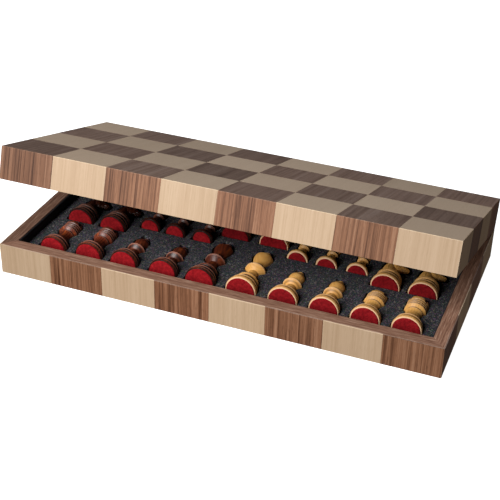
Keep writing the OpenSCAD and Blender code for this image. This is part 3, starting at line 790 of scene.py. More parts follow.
for s in ("left", "right"):
    bevelled(f"{s}_hinge_tray_leaf", f"{s}_tray_leaf", "tray", "brass", (BRASS,), 0, 0.15, 2, 40)
    bevelled(f"{s}_hinge_pin", f"{s}_pin", "tray", "steel", (STEEL,), 0, 0.12, 2, 50)
    bevelled(f"{s}_hinge_lid_leaf", f"{s}_lid_leaf", "lid", "brass", (BRASS,), 0, 0.15, 2, 40,
             in_lid=True)


# ---------------------------------------------------------------- the men: places and profiles
PLACES = {
    "dark_rook_1": (-3.245, 0.512, -1.9, 0.8), "dark_rook_2": (-2.533, 0.512, 0, 1),
    "dark_bishop_1": (-1.851, 0.512, 0, 4.6), "dark_bishop_2": (-1.097, 0.512, 0, 4.2),
    "dark_queen": (-0.398, 0.505, 0, 3),
    "dark_knight_1": (-3.239, 1.545, 0, 0), "dark_knight_2": (-2.579, 1.54, 0, 0),
    "dark_king": (-0.375, 2.12, 0, 0),
    "dark_pawn_1": (-1.935, 1.8, 0.7, 0), "dark_pawn_2": (-1.431, 1.79, 0.7, 0),
    "dark_pawn_3": (-0.895, 1.79, 0.7, 0), "dark_pawn_4": (-3.25, 2.86, 0, 0),
    "dark_pawn_5": (-2.585, 2.86, 0, 0), "dark_pawn_6": (-1.99, 2.86, 0, 0),
    "dark_pawn_7": (-1.445, 2.86, 0, 0), "dark_pawn_8": (-0.904, 2.86, 0, 0),
    "light_rook_1": (3.256, 0.516, -0.2, 0.8), "light_rook_2": (2.55, 0.512, 0, 5.4),
    "light_bishop_1": (1.841, 0.51, 0, 2.6), "light_bishop_2": (1.111, 0.51, 0, 2.6),
    "light_queen": (0.359, 0.51, 0, 3),
    "light_knight_1": (3.254, 1.605, 0, 0), "light_knight_2": (2.593, 1.6, 0, 0),
    "light_king": (0.37, 2.12, 0, 0),
    "light_pawn_1": (2.014, 1.865, -1.1, 0), "light_pawn_2": (1.454, 1.86, -1.1, 0),
    "light_pawn_3": (0.912, 1.86, -1.1, 0), "light_pawn_4": (3.25, 2.86, 0, 0),
    "light_pawn_5": (2.585, 2.86, 0, 0), "light_pawn_6": (1.99, 2.86, 0, 0),
    "light_pawn_7": (1.445, 2.86, 0, 0), "light_pawn_8": (0.904, 2.86, 0, 0),
}
RADIUS = {"rook": 13.25, "bishop": 13.5, "queen": 14.2, "king": 14.2, "knight": 13.25, "pawn": 10.1}
KING_H = 75.0
KT = KING_H - 10.5


def base_pts(r):
    f = FELT_T
    return [(0, f), (r - 0.6, f), (r - 0.15, f + 0.9), (r, f + 2.2), (r - 0.35, f + 3.6),
            (r - 1.4, f + 4.5), (r - 1.8, f + 5.2), (r - 1.15, f + 6), (r - 1, f + 7),
            (r - 1.7, f + 8.3)]


def step_pts(r):
    return [(r - 0.2, 12.4), (r - 0.9, 14.2), (r - 1, 15), (r - 0.2, 15.8), (r, 16.9),
            (r - 0.3, 18.1), (r - 1.1, 18.9)]


def ball_pts(r, c, a0, n):
    out = []
    for i in range(n + 1):
        a = math.radians(a0 + (90 - a0) * i / n)
        out.append((r * math.cos(a), c + r * math.sin(a)))
    return out


P = RADIUS["pawn"]
PROFILE = {
    "pawn": [(0, 1), (P - 0.5, 1), (P, 2.2), (P - 0.1, 3.4), (P - 0.8, 4.4), (P - 1.5, 5),
             (P - 1.3, 6), (P - 1.9, 7.2), (6.2, 9.6), (4.6, 12.4), (3.7, 15.4), (3.4, 18.6),
             (5.3, 19.6), (5.4, 20.4), (4.8, 21.3), (3.4, 22)] + ball_pts(6, 27.2, -55, 14),
    "bishop": base_pts(13.5) + [
        (9.6, 11.4), (7.4, 13.6), (5.8, 16.8), (4.9, 20.8), (4.7, 24.2), (6.8, 25.3), (8.5, 26.6),
        (8.8, 27.4), (8.3, 28.1), (6.4, 28.8), (4.9, 29.7), (5, 30.8), (6.5, 33.8), (7.3, 37),
        (7.5, 39.4), (5.9, 43.4), (3.6, 45.9), (2.1, 47.0), (1.8, 47.4), (2.6, 48.1), (3.0, 49.2),
        (2.6, 50.3), (1.4, 50.9), (0, 51)],
    "queen": base_pts(14.2) + step_pts(10.6) + [
        (7.4, 20.2), (5.9, 23.4), (5.1, 28), (5, 32.4), (7.4, 34.4), (9.6, 36.4), (9.8, 37.4),
        (8, 38.5), (5.6, 39.4), (5.2, 40.4), (6.4, 41.2), (6.4, 42.2), (5.4, 43), (5.6, 45),
        (7.2, 49.5), (8.8, 54), (9.6, 57.8), (9.0, 59.2), (6.9, 61.4), (4.8, 63.4), (3.4, 64.4),
        (3.0, 65), (4.2, 66.0), (4.6, 67.3), (3.7, 68.8), (1.9, 69.7), (0, 70)],
    "king": base_pts(14.2) + step_pts(10.8) + [
        (7.6, 20.4), (6.1, 24), (5.3, 29), (5.2, 34.4), (7.6, 36.4), (10.1, 38.4), (10.3, 39.4),
        (8.2, 40.5), (5.8, 41.4), (5.4, 42.4), (6.6, 43.2), (6.6, 44.2), (5.6, 45), (5.9, 47),
        (7.8, KT - 11.5), (9.2, KT - 6), (9.4, KT - 4.6), (8.4, KT - 3.6), (5.4, KT - 1.4),
        (2.2, KT - 0.4), (2, KT), (0, KT)],
    "rook": base_pts(13.25) + [
        (9.4, 11), (7.7, 13.6), (6.7, 16.8), (6.2, 20.4), (6.2, 22.8), (6.7, 24.6), (7.3, 25.8),
        (7.2, 26.4), (6.6, 26.9), (6.8, 27.4), (8.3, 28.4), (9.3, 29.3), (9.3, 30.2), (8.1, 30.7),
        (8.0, 31.5), (9.0, 32.0), (9.15, 33.1), (8.15, 33.6), (8.1, 34.3), (9.1, 34.8),
        (9.15, 36.0), (8.2, 36.5), (8.2, 37.1), (9.2, 37.7), (9.2, 40.6), (9, 41), (6.2, 41),
        (6.2, 37.6), (0, 37.6)],
    "knight": base_pts(13.25) + [(10.0, 10.5), (10.4, 11.5), (11.4, 12.4), (11.55, 14.7),
                                 (11.3, 15.3), (9.2, 15.9), (8.2, 17.4), (7.0, 19.4), (0, 19.4)],
}


def smooth_profile(pts, sharp=36, fillet=0.22):
    """Rounds the long sweeps of a profile but keeps its turned edges crisp."""
    def turn(a, b, c):
        t = math.atan2(c[1] - b[1], c[0] - b[0]) - math.atan2(b[1] - a[1], b[0] - a[0])
        return abs((t + math.pi) % (2 * math.pi) - math.pi)

    marks = [0] + [i for i in range(1, len(pts) - 1)
                   if turn(pts[i - 1], pts[i], pts[i + 1]) > math.radians(sharp)] + [len(pts) - 1]
    out = []
    for i0, i1 in zip(marks, marks[1:]):
        c = list(pts[i0:i1 + 1])
        for _ in range(3 if len(c) > 2 else 0):
            q = [c[0]]
            for a, b in zip(c, c[1:]):
                q.append((0.75 * a[0] + 0.25 * b[0], 0.75 * a[1] + 0.25 * b[1]))
                q.append((0.25 * a[0] + 0.75 * b[0], 0.25 * a[1] + 0.75 * b[1]))
            q.append(c[-1])
            c = [q[0]] + [q[k] for k in range(1, len(q) - 1) if math.dist(q[k], q[k - 1]) > 0.08] + [q[-1]]
        out += c if not out else c[1:]
    res = [out[0]]
    for i in range(1, len(out) - 1):
        a, b, c = out[i - 1], out[i], out[i + 1]
        if turn(a, b, c) < math.radians(26):
            res.append(b)
            continue
        la, lc = math.dist(a, b), math.dist(b, c)
        w = min(fillet, 0.45 * la, 0.45 * lc)
        p = (b[0] + (a[0] - b[0]) * w / la, b[1] + (a[1] - b[1]) * w / la)
        q = (b[0] + (c[0] - b[0]) * w / lc, b[1] + (c[1] - b[1]) * w / lc)
        m = (0.25 * p[0] + 0.5 * b[0] + 0.25 * q[0], 0.25 * p[1] + 0.5 * b[1] + 0.25 * q[1])
        res += [p, m, q]
    res.append(out[-1])
    return res


# turned beads: heights in mm of the crests, which get painted glints, and of the fine cuts between them, which get
# painted shade and the wax in them
FOOT_CREST = (3.1, 7.7)
FOOT_CUT = (4.9, 6.2)
BEADS = {"rook": (FOOT_CREST + (29.8, 32.7, 35.5, 38.1), FOOT_CUT + (31.1, 33.9, 36.8)),
         "bishop": (FOOT_CREST + (26.9, 28.0, 49.4), FOOT_CUT + (25.4, 29.6)),
         "queen": (FOOT_CREST + (16.9, 36.6, 37.6, 41.7, 67.3), FOOT_CUT + (15.0, 40.3, 43.2)),
         "king": (FOOT_CREST + (16.9, 38.6, 39.6, 43.7), FOOT_CUT + (15.0, 42.3, 45.2)),
         "knight": (FOOT_CREST + (12.7, 14.7), FOOT_CUT + (10.6, 16.2)),
         "pawn": ((20.0,), (5.0, 18.6, 21.9))}


def hollow(pts):
    """How much painted shade each profile point gets, 0 to 1: shade in a turned groove, where wax gathers as well,
    and shade behind a wider ring that stands between it and the base."""
    out = []
    for r, z in pts:
        below = max(q[0] for q in pts if z - 2.2 < q[1] <= z)
        above = max(q[0] for q in pts if z <= q[1] < z + 2.2)
        groove_shade = (min(below, above) - r) / 0.5
        steep = max([(q[0] - r) / (z - q[1]) for q in pts if 0.4 < z - q[1] < 9.0], default=0.0)
        tucked = (steep - 0.38) / 0.6
        out.append(max(0.0, min(1.0, groove_shade), min(0.8, tucked)))
    return out


def ridge(pts):
    """How sharply each profile point stands out above its neighbours, 0 to 1."""
    out = []
    for r, z in pts:
        below = [q[0] for q in pts if -1.3 < q[1] - z <= -0.35]
        above = [q[0] for q in pts if 0.35 <= q[1] - z < 1.3]
        d = min(r - min(below, default=0.0), r - min(above, default=0.0))
        out.append(max(0.0, min(1.0, (d - 0.08) / 0.3)) if r > 4.5 and z > 5 else 0.0)
    return out


def lathe(pts, seg=80):
    """A closed lathe mesh in mm, standing on z, from radius 0 to radius 0."""
    ring = [q for q in pts if q[0] > 1e-6]
    n = len(ring)
    a = np.linspace(0, 2 * math.pi, seg, endpoint=False)
    V = [(0, 0, pts[0][1])]
    for r, z in ring:
        V += [(r * math.cos(t), r * math.sin(t), z) for t in a]
    V.append((0, 0, pts[-1][1]))
    F = []
    for s in range(seg):
        t = (s + 1) % seg
        F.append((0, 1 + t, 1 + s))
        for i in range(n - 1):
            b = 1 + i * seg
            F.append((b + s, b + t, b + seg + t, b + seg + s))
        b = 1 + (n - 1) * seg
        F.append((b + s, b + t, len(V) - 1))
    me = bpy.data.meshes.new("lathe")
    me.from_pydata(V, [], F)
    me.update()
    return me


def finish_man(me, kind):
    """Point attributes of a man's wood in its own standing frame: gp, the painted groove shade and crest highlight,
    the foot band, and the painted bead glints and cut shade.
    """
    n = len(me.vertices)
    co = np.empty(n * 3, np.float32)
    me.vertices.foreach_get("co", co)
    co = co.reshape(-1, 3)
    pts = smooth_profile(PROFILE[kind])
    z = np.array([q[1] for q in pts])
    h = np.array(hollow(pts))
    crest = np.array(ridge(pts))
    rr = np.array([q[0] for q in pts])
    r = np.hypot(co[:, 0], co[:, 1])
    # painted shade of the nearest profile point: its groove depth and how far it is tucked behind a ring
    d = (co[:, 2][:, None] - z[None]) ** 2 + (r[:, None] - rr[None]) ** 2
    near = d.argmin(axis=1)
    g = h[near] * (d[np.arange(n), near] < 1.0)
    base = RADIUS[kind]
    ringmask = np.clip((FELT_T + 0.8 - co[:, 2]) / 0.5, 0, 1) * (r > base - 3)
    set_attr(me, "gp", "FLOAT_VECTOR", "POINT", co * MM)
    set_attr(me, "painted_cavity_shade", "FLOAT", "POINT", g)
    # crest strength, laid on as a painted highlight
    e = crest[near] * (d[np.arange(n), near] < 1.0)
    set_attr(me, "painted_crest_highlight", "FLOAT", "POINT", e * 0.45)
    set_attr(me, "gb", "FLOAT", "POINT", ringmask)
    crests, cuts = BEADS[kind]
    # bands at the listed heights: painted glints on crests, painted shade with wax in cuts
    for name, lines, w in (("painted_bead_glint", crests, 0.45), ("cut_wax_and_shade", cuts, 0.5)):
        t = sum(np.exp(-((co[:, 2] - q) / w) ** 2) for q in lines)
        set_attr(me, name, "FLOAT", "POINT", np.clip(t, 0, 1) * ((r > 4.4) | (co[:, 2] > 46)))


def make_rook():
    o = new_object("rook_master", lathe(smooth_profile(PROFILE["rook"]), 96))
    for a in (45, 135):
        c = new_object("c", box_mesh(-12, 12, -1.5, 1.5, 38.2, 42.2))
        c.data.transform(Matrix.Rotation(math.radians(a), 4, "Z"))
        cut(o, c)
        bpy.data.objects.remove(c)
    me = o.data
    bpy.data.objects.remove(o)
    return me


def blob(bm, x, y, z, rx, ry, rz, seg=20):
    m = Matrix.Translation((x, y, z)) @ Matrix.Diagonal((rx, ry, rz, 1))
    bmesh.ops.create_uvsphere(bm, u_segments=seg, v_segments=seg // 2, radius=1.0, matrix=m)


def chain(bm, pts, n=9, flat=0.72, y=0.0):
    """Overlapping ellipsoids along (x, z, radius) stations."""
    for a, b in zip(pts, pts[1:]):
        for i in range(n):
            t = i / (n - 1)
            x, z, r = (a[k] + (b[k] - a[k]) * t for k in range(3))
            blob(bm, x, y, z, r, min(r * flat, 5.75), r)


def make_knight():
    """Horse's head on the turned foot: neck, jaw, muzzle, ears and a cut mane."""
    bm = bmesh.new()
    chain(bm, [(-1.6, 20.0, 6.8), (-2.6, 24, 6.7), (-3.2, 29, 6.2), (-2.6, 34.5, 5.8),
               (-0.6, 38.4, 5.0)], 8, 0.72)
    chain(bm, [(1.6, 19.2, 4.6), (1.4, 22.0, 3.6), (0.8, 26, 3.2)], 6, 0.9)
    chain(bm, [(-0.6, 38.2, 4.9), (3.0, 36.2, 4.6), (6.6, 34.6, 3.9), (9.6, 33.6, 3.4),
               (11.0, 33.3, 2.7)], 8, 0.80)
    chain(bm, [(1.0, 34.4, 4.6), (3.2, 33.4, 3.8)], 5, 0.98)          # cheek
    chain(bm, [(9.8, 34.6, 2.3), (11.3, 34.0, 2.2)], 5, 1.0)           # nose
    chain(bm, [(9.4, 31.6, 1.8), (11.4, 31.8, 1.5)], 5, 1.0)           # lip
    for s in (-1, 1):                                                   # ears, brows
        chain(bm, [(0.2, 41.6, 1.7), (1.4, 43.8, 1.25), (2.6, 45.4, 0.5)], 6, 0.8, s * 1.9)
        blob(bm, 4.6, s * 3.2, 38.0, 1.7, 1.0, 1.1)
    mane = [(0.0, 43.0), (-2.6, 42.2), (-4.9, 40.6), (-6.7, 38.2), (-7.9, 35.4), (-8.5, 32.4),
            (-8.7, 29.2), (-8.4, 26.0), (-7.8, 23.2), (-6.8, 21.0)]
    for (xa, za), (xb, zb) in zip(mane, mane[1:]):
        for i in range(6):
            t = i / 6
            x, z = xa + (xb - xa) * t, za + (zb - za) * t
            r = 1.15 + 0.35 * math.sin(math.pi * t)
            blob(bm, x + 1.0, 0, z, 2.4, 1.5 * (0.8 + 0.3 * math.sin(math.pi * t)), r + 0.5)
    me = bpy.data.meshes.new("horse")
    bm.to_mesh(me)
    bm.free()
    o = new_object("horse", me)
    r = o.modifiers.new("r", "REMESH")
    r.mode = "VOXEL"
    r.voxel_size = 0.42
    apply_modifiers(o)
    s = o.modifiers.new("s", "SMOOTH")
    s.factor = 0.5
    s.iterations = 3
    apply_modifiers(o)
    # carve: mouth, nostrils, eyes, mane strands, cheek line
    n = len(o.data.vertices)
    co = np.empty(n * 3, np.float32)
    o.data.vertices.foreach_get("co", co)
    co = co.reshape(-1, 3)
    no = np.empty(n * 3, np.float32)
    o.data.vertices.foreach_get("normal", no)
    no = no.reshape(-1, 3)
    x, y, z = co[:, 0], np.abs(co[:, 1]), co[:, 2]

    def seg_dist(ax, az, bx, bz):
        ux, uz = bx - ax, bz - az
        t = np.clip(((x - ax) * ux + (z - az) * uz) / (ux * ux + uz * uz), 0, 1)
        return np.hypot(x - ax - t * ux, z - az - t * uz)

    dep = np.zeros(n)
    dep += 0.75 * np.exp(-(seg_dist(13.2, 32.7, 8.6, 32.2) / 0.42) ** 2)            # mouth
    dep += 0.7 * np.exp(-(np.hypot(x - 11.6, z - 34.3) / 0.6) ** 2) * (y > 1.0)      # nostril
    dep += 0.55 * np.exp(-(seg_dist(0.4, 30.4, -2.2, 35.4) / 0.6) ** 2) * (y > 2)    # jaw line
    dep += 0.45 * np.exp(-(seg_dist(8.2, 36.2, 5.4, 37.0) / 0.5) ** 2) * (y > 2)     # brow line
    eye = np.hypot(x - 4.9, z - 36.9)
    dep += 0.5 * np.exp(-((eye - 0.95) / 0.32) ** 2) * (y > 2)
    dep -= 0.25 * np.exp(-(eye / 0.6) ** 2) * (y > 2)
    # mane strands: grooves slanting down and back over the crest
    crest = np.full(n, 99.0)
    arc = np.zeros(n)
    run = 0.0
    for (xa, za), (xb, zb) in zip(mane, mane[1:]):
        ux, uz = xb - xa, zb - za
        L = math.hypot(ux, uz)
        t = np.clip(((x - xa) * ux + (z - za) * uz) / (L * L), 0, 1)
        d = np.hypot(x - xa - t * ux, z - za - t * uz)
        hit = d < crest
        crest = np.where(hit, d, crest)
        arc = np.where(hit, run + t * L, arc)
        run += L
    strand = 0.5 + 0.5 * np.cos(2 * math.pi * (arc - 0.9 * crest) / 2.1)
    dep += 0.55 * strand ** 3 * np.clip((4.4 - crest) / 1.2, 0, 1)
    dep += 0.35 * np.exp(-((crest - 4.7) / 0.4) ** 2) * (y > 1.5) * (z < 41)
    co -= no * dep[:, None]
    co[:, 1] = np.clip(co[:, 1], -5.95, 5.95)
    co[:, 0] = np.clip(co[:, 0], -10.2, 13.8)
    co[:, 2] = np.minimum(co[:, 2], 46)
    o.data.vertices.foreach_set("co", co.ravel())
    o.data.update()
    foot = new_object("foot", lathe(smooth_profile(PROFILE["knight"]), 80))
    cut(foot, o, "UNION", True)
    bpy.data.objects.remove(o)
    low = min(v.co.z for v in foot.data.vertices)
    if low > FELT_T + 0.1:
        raise RuntimeError("the knight lost its turned foot")
    me = foot.data
    bpy.data.objects.remove(foot)
    return me


def make_king():
    o = new_object("king_master", lathe(smooth_profile(PROFILE["king"]), 80))
    # flared cross, 2.2 mm thick
    z0, top = KT - 0.4, KING_H
    zc = KT + 5.5
    out = [(1.7, z0), (1.0, zc - 1.25), (3.1, zc - 1.9), (4.0, zc - 1.75), (4.0, zc + 1.75),
           (3.1, zc + 1.9), (1.0, zc + 1.25), (1.7, top - 0.5), (1.3, top)]
    ring = out + [(-x, z) for x, z in reversed(out)]
    bm = bmesh.new()
    lo = [bm.verts.new((x, -1.1, z)) for x, z in ring]
    f = bm.faces.new(lo)
    ext = bmesh.ops.extrude_face_region(bm, geom=[f])
    vs = [v for v in ext["geom"] if isinstance(v, bmesh.types.BMVert)]
    bmesh.ops.translate(bm, verts=vs, vec=(0, 2.2, 0))
    bmesh.ops.recalc_face_normals(bm, faces=bm.faces)
    es = [e for e in bm.edges if e.calc_face_angle(0) > 0.9]
    bmesh.ops.bevel(bm, geom=es, offset=0.28, segments=2, profile=0.5, affect="EDGES",
                    clamp_overlap=True)
    me = bpy.data.meshes.new("cross")
    bm.to_mesh(me)
    bm.free()
    c = new_object("cross", me)
    cut(o, c, "UNION")
    bpy.data.objects.remove(c)
    me = o.data
    bpy.data.objects.remove(o)
    return me


MASTER = {}
for kind in ("pawn", "bishop", "queen"):
    MASTER[kind] = lathe(smooth_profile(PROFILE[kind]), 72 if kind == "pawn" else 80)
MASTER["king"] = make_king()
MASTER["rook"] = make_rook()
MASTER["knight"] = make_knight()
for kind, me in MASTER.items():
    finish_man(me, kind)


def felt_mesh(r):
    """A felt disc with a soft rim and a slightly uneven outline."""
    pts = [(0, 0.02), (r * 0.35, 0.02), (r * 0.7, 0.03), (r - 0.7, 0.05), (r - 0.3, 0.16),
           (r - 0.08, 0.42), (r, 0.62), (r - 0.02, 0.96), (0, 0.97)]
    me = lathe(pts, 96)
    n = len(me.vertices)
    co = np.empty(n * 3, np.float32)
    me.vertices.foreach_get("co", co)
    co = co.reshape(-1, 3)
    a = np.arctan2(co[:, 1], co[:, 0])
    wob = 1 - 0.006 * (0.5 + 0.5 * np.sin(a * 7 + 1.3) * np.cos(a * 4 + 0.4)) \
        - 0.004 * (0.5 + 0.5 * np.sin(a * 23))
    co[:, 0] *= wob
    co[:, 1] *= wob
    me.vertices.foreach_set("co", co.ravel())
    set_attr(me, "gp", "FLOAT_VECTOR", "POINT", co * MM)
    return me


# tone of each dark man, set one by one: painted shade on the men under the lid (knights, second-row pawns, king) and
# on the bishops and queen, painted light on the front rooks
LIGHT_AND_SHADE_TONE = {"dark_rook_1": 1.1, "dark_rook_2": 1.25, "dark_bishop_1": 0.8, "dark_bishop_2": 0.65,
        "dark_queen": 0.6, "dark_knight_1": 0.32, "dark_knight_2": 0.32, "dark_pawn_1": 0.4,
        "dark_pawn_2": 0.4, "dark_pawn_3": 0.4, "dark_king": 0.6}


def man_z(p, r):
    return max(FOAM_TOP - SINK + p[2], FLOOR_Z + r + 0.15)


for idx, (name, p) in enumerate(PLACES.items()):
    side, kind = name.split("_")[:2]
    r = RADIUS[kind]
    m = (Matrix.Translation((p[0] * SQ, (p[1] - 2) * SQ, man_z(p, r)))
         @ Matrix.Rotation(math.radians(-90 - p[3]), 4, "X"))
    spin = 0.0 if kind in ("king", "knight", "rook") else noise01(idx, 4) * 2 * math.pi
    m = m @ Matrix.Rotation(spin, 4, "Z")
    me = MASTER[kind].copy()
    me.materials.clear()
    me.materials.append(BOXWOOD if side == "light" else ROSEWOOD)
    n = len(me.vertices)
    b = (0.92 + 0.16 * noise01(idx, 8)) * LIGHT_AND_SHADE_TONE.get(name, 1.0)
    w = 0.97 + 0.06 * noise01(idx, 12)
    set_attr(me, "gs", "FLOAT", "POINT", np.full(n, noise01(idx, 2) * 0.9 + 0.05))
    set_attr(me, "gt", "FLOAT_COLOR", "POINT", np.tile(np.array([b, b * w, b * w * w, 1.0]), (n, 1)))
    o = new_object(name + "_wood", me)
    place(o, m)
    shade(o, 40 if kind == "rook" else 50)
    settle(o, name, "boxwood" if side == "light" else "rosewood", name)
    fr = r - FELT_RING - (0.4 if kind == "pawn" else 0)
    fm = felt_mesh(fr)
    fm.materials.append(FELT)
    # felt tone painted man by man: lighter on the dark men at the left and darker on the light men at the right where
    # the light falls off, painted shade on the knights in their deep pockets and on the dark king under the lid,
    # painted light on the light queen
    t = (0.92 if side == "light" else 1.12) * (0.86 if kind == "knight" else 1.0)
    t *= {"dark_king": 0.6, "light_queen": 1.1}.get(name, 1.0)
    set_attr(fm, "gt", "FLOAT_COLOR", "POINT",
             np.tile(np.array([t, t, t, 1.0]), (len(fm.vertices), 1)))
    f = new_object(name + "_felt", fm)
    place(f, m)
    shade(f, 60)
    settle(f, name, "felt", name)


# ---------------------------------------------------------------- foam insert and lid pad
def plan(kind):
    return {
        "pawn": [(0, 10.1), (5.4, 10.1), (9.4, 8.7), (13, 5.4), (20, 5.6), (24, 6), (30.5, 6),
                 (33.2, 3.4)],
        "bishop": [(0, 13.5), (6, 13.5), (10, 12.1), (15, 7.6), (25, 6.8), (26.5, 8.8), (30, 8.8),
                   (41, 7.7), (46, 5), (51, 2.8)],
        "queen": [(0, 14.2), (6, 14.2), (11, 11.4), (19, 10.8), (23, 7.4), (31, 7), (34.5, 10.1),
                  (40, 10.1), (45, 8), (53, 9.7), (60, 9.7), (64.5, 5.6), (70, 4.3)],
        "king": [(0, 14.2), (6, 14.2), (11, 11.6), (19, 11), (24, 7.6), (33, 7.4), (36.5, 10.3),
                 (42, 10.3), (47, 8), (55, 9.4), (61, 9.4), (65, 5.6), (75, 5.6)],
        "rook": [(0, 13.25), (6, 13.25), (10, 11.6), (14.5, 8.6), (21, 8.6), (24, 9.4), (41, 9.4)],
    }[kind]


SHALLOW = {"rook": 9.4, "bishop": 8.8, "queen": 10.6, "king": 10.8, "pawn": 6.0}
STEP = {"rook": 13, "bishop": 13, "queen": 15, "king": 15, "pawn": 10}


def floor_of(z):
    return FLOOR_Z + 0.03 if z < FLOOR_Z + 0.35 else z


def signed(px, py, poly):
    """Signed distance in mm of points to a closed polygon: negative inside."""
    d = np.full(px.shape, 1e9)
    inside = np.zeros(px.shape, bool)
    n = len(poly)
    for i in range(n):
        ax, ay = poly[i]
        bx, by = poly[(i + 1) % n]
        ux, uy = bx - ax, by - ay
        L = ux * ux + uy * uy
        t = np.clip(((px - ax) * ux + (py - ay) * uy) / max(L, 1e-9), 0, 1)
        d = np.minimum(d, np.hypot(px - ax - t * ux, py - ay - t * uy))
        hit = (ay > py) != (by > py)
        with np.errstate(divide="ignore", invalid="ignore"):
            xc = ax + (py - ay) * ux / (uy if abs(uy) > 1e-12 else 1e-12)
        inside ^= hit & (px < xc)
    return np.where(inside, -d, d)


def snug(kind, right):
    """The outline of a pocket drawn in to lie close round the man, as soft foam does."""
    prof = PROFILE[kind]
    top = max(range(len(prof)), key=lambda i: prof[i][1] + 0.001 * prof[i][0])
    hs = np.array([q[1] for q in prof[1:top + 1]]) + 1e-4 * np.arange(top)
    rs = np.array([q[0] for q in prof[1:top + 1]])
    least = 4.8 if kind == "king" else 3.6
    a = np.array([q[0] for q in right])
    b = np.array([q[1] for q in right])
    out = [right[0]]
    z = b[0] + 1.0
    while z < b[-1] - 0.5:
        grid = np.linspace(z - 1.3, z + 1.3, 27)
        near = np.interp(np.clip(grid, hs[0], hs[-1]), hs, rs).max()
        out.append((float(min(np.interp(z, b, a), max(near, least) + 0.45)), float(z)))
        z += 1.0
    out.append((min(right[-1][0], out[-1][0]), right[-1][1]))
    return out


def pocket_shapes(name, p):
    """[(polygon in mm, floor z)] of one man's pocket."""
    kind = name.split("_")[1]
    x, y, r = p[0] * SQ, (p[1] - 2) * SQ, RADIUS[kind]
    z = man_z(p, r)
    if kind == "knight":
        head = [(-11, 12), (11, 12), (11, 24), (8, 26), (16, 29), (16, 37), (10, 42), (7, 47.5),
                (0, 47.5), (-9, 42), (-11, 34)]
        mid = [(-12.3, 0), (12.3, 0), (12.3, 20), (-12.3, 20)]
        deep = [(-14.05, -0.8), (14.05, -0.8), (14.05, 7), (12.3, 13), (-12.3, 13), (-14.05, 7)]
        return [([(x + a, y + b) for a, b in head], floor_of(z - 6.4)),
                ([(x + a, y + b) for a, b in mid], floor_of(z - 11.9)),
                ([(x + a, y + b) for a, b in deep], floor_of(z - r - 0.3))]
    pl = plan(kind)
    tip = r * math.sin(math.radians(p[3]))
    drop = pl[-1][0] * math.sin(math.radians(p[3]))
    g = POCKET_GAP
    n = len(pl) - 1

    def yy(i):
        return pl[i][0] + (-g - tip if i == 0 else g if i == n else 0)

    right = [(pl[i][1] + g, yy(i)) for i in range(n + 1)]
    right = snug(kind, right)
    n = len(right) - 1
    poly = right + [(-a, b) for a, b in reversed(right)]
    whole = [(x + a, y + b) for a, b in poly]
    st = STEP[kind]
    # the deep part: the outline up to the step
    cutp = []
    for i in range(n):
        a, b = right[i], right[i + 1]
        cutp.append(a)
        if b[1] >= st:
            t = (st - a[1]) / (b[1] - a[1])
            cutp.append((a[0] + (b[0] - a[0]) * t, st))
            break
    deep = [(x + a, y + b) for a, b in cutp + [(-a, b) for a, b in reversed(cutp)]]
    return [(whole, floor_of(z - SHALLOW[kind] - drop - 0.3)), (deep, floor_of(z - r - 0.3))]


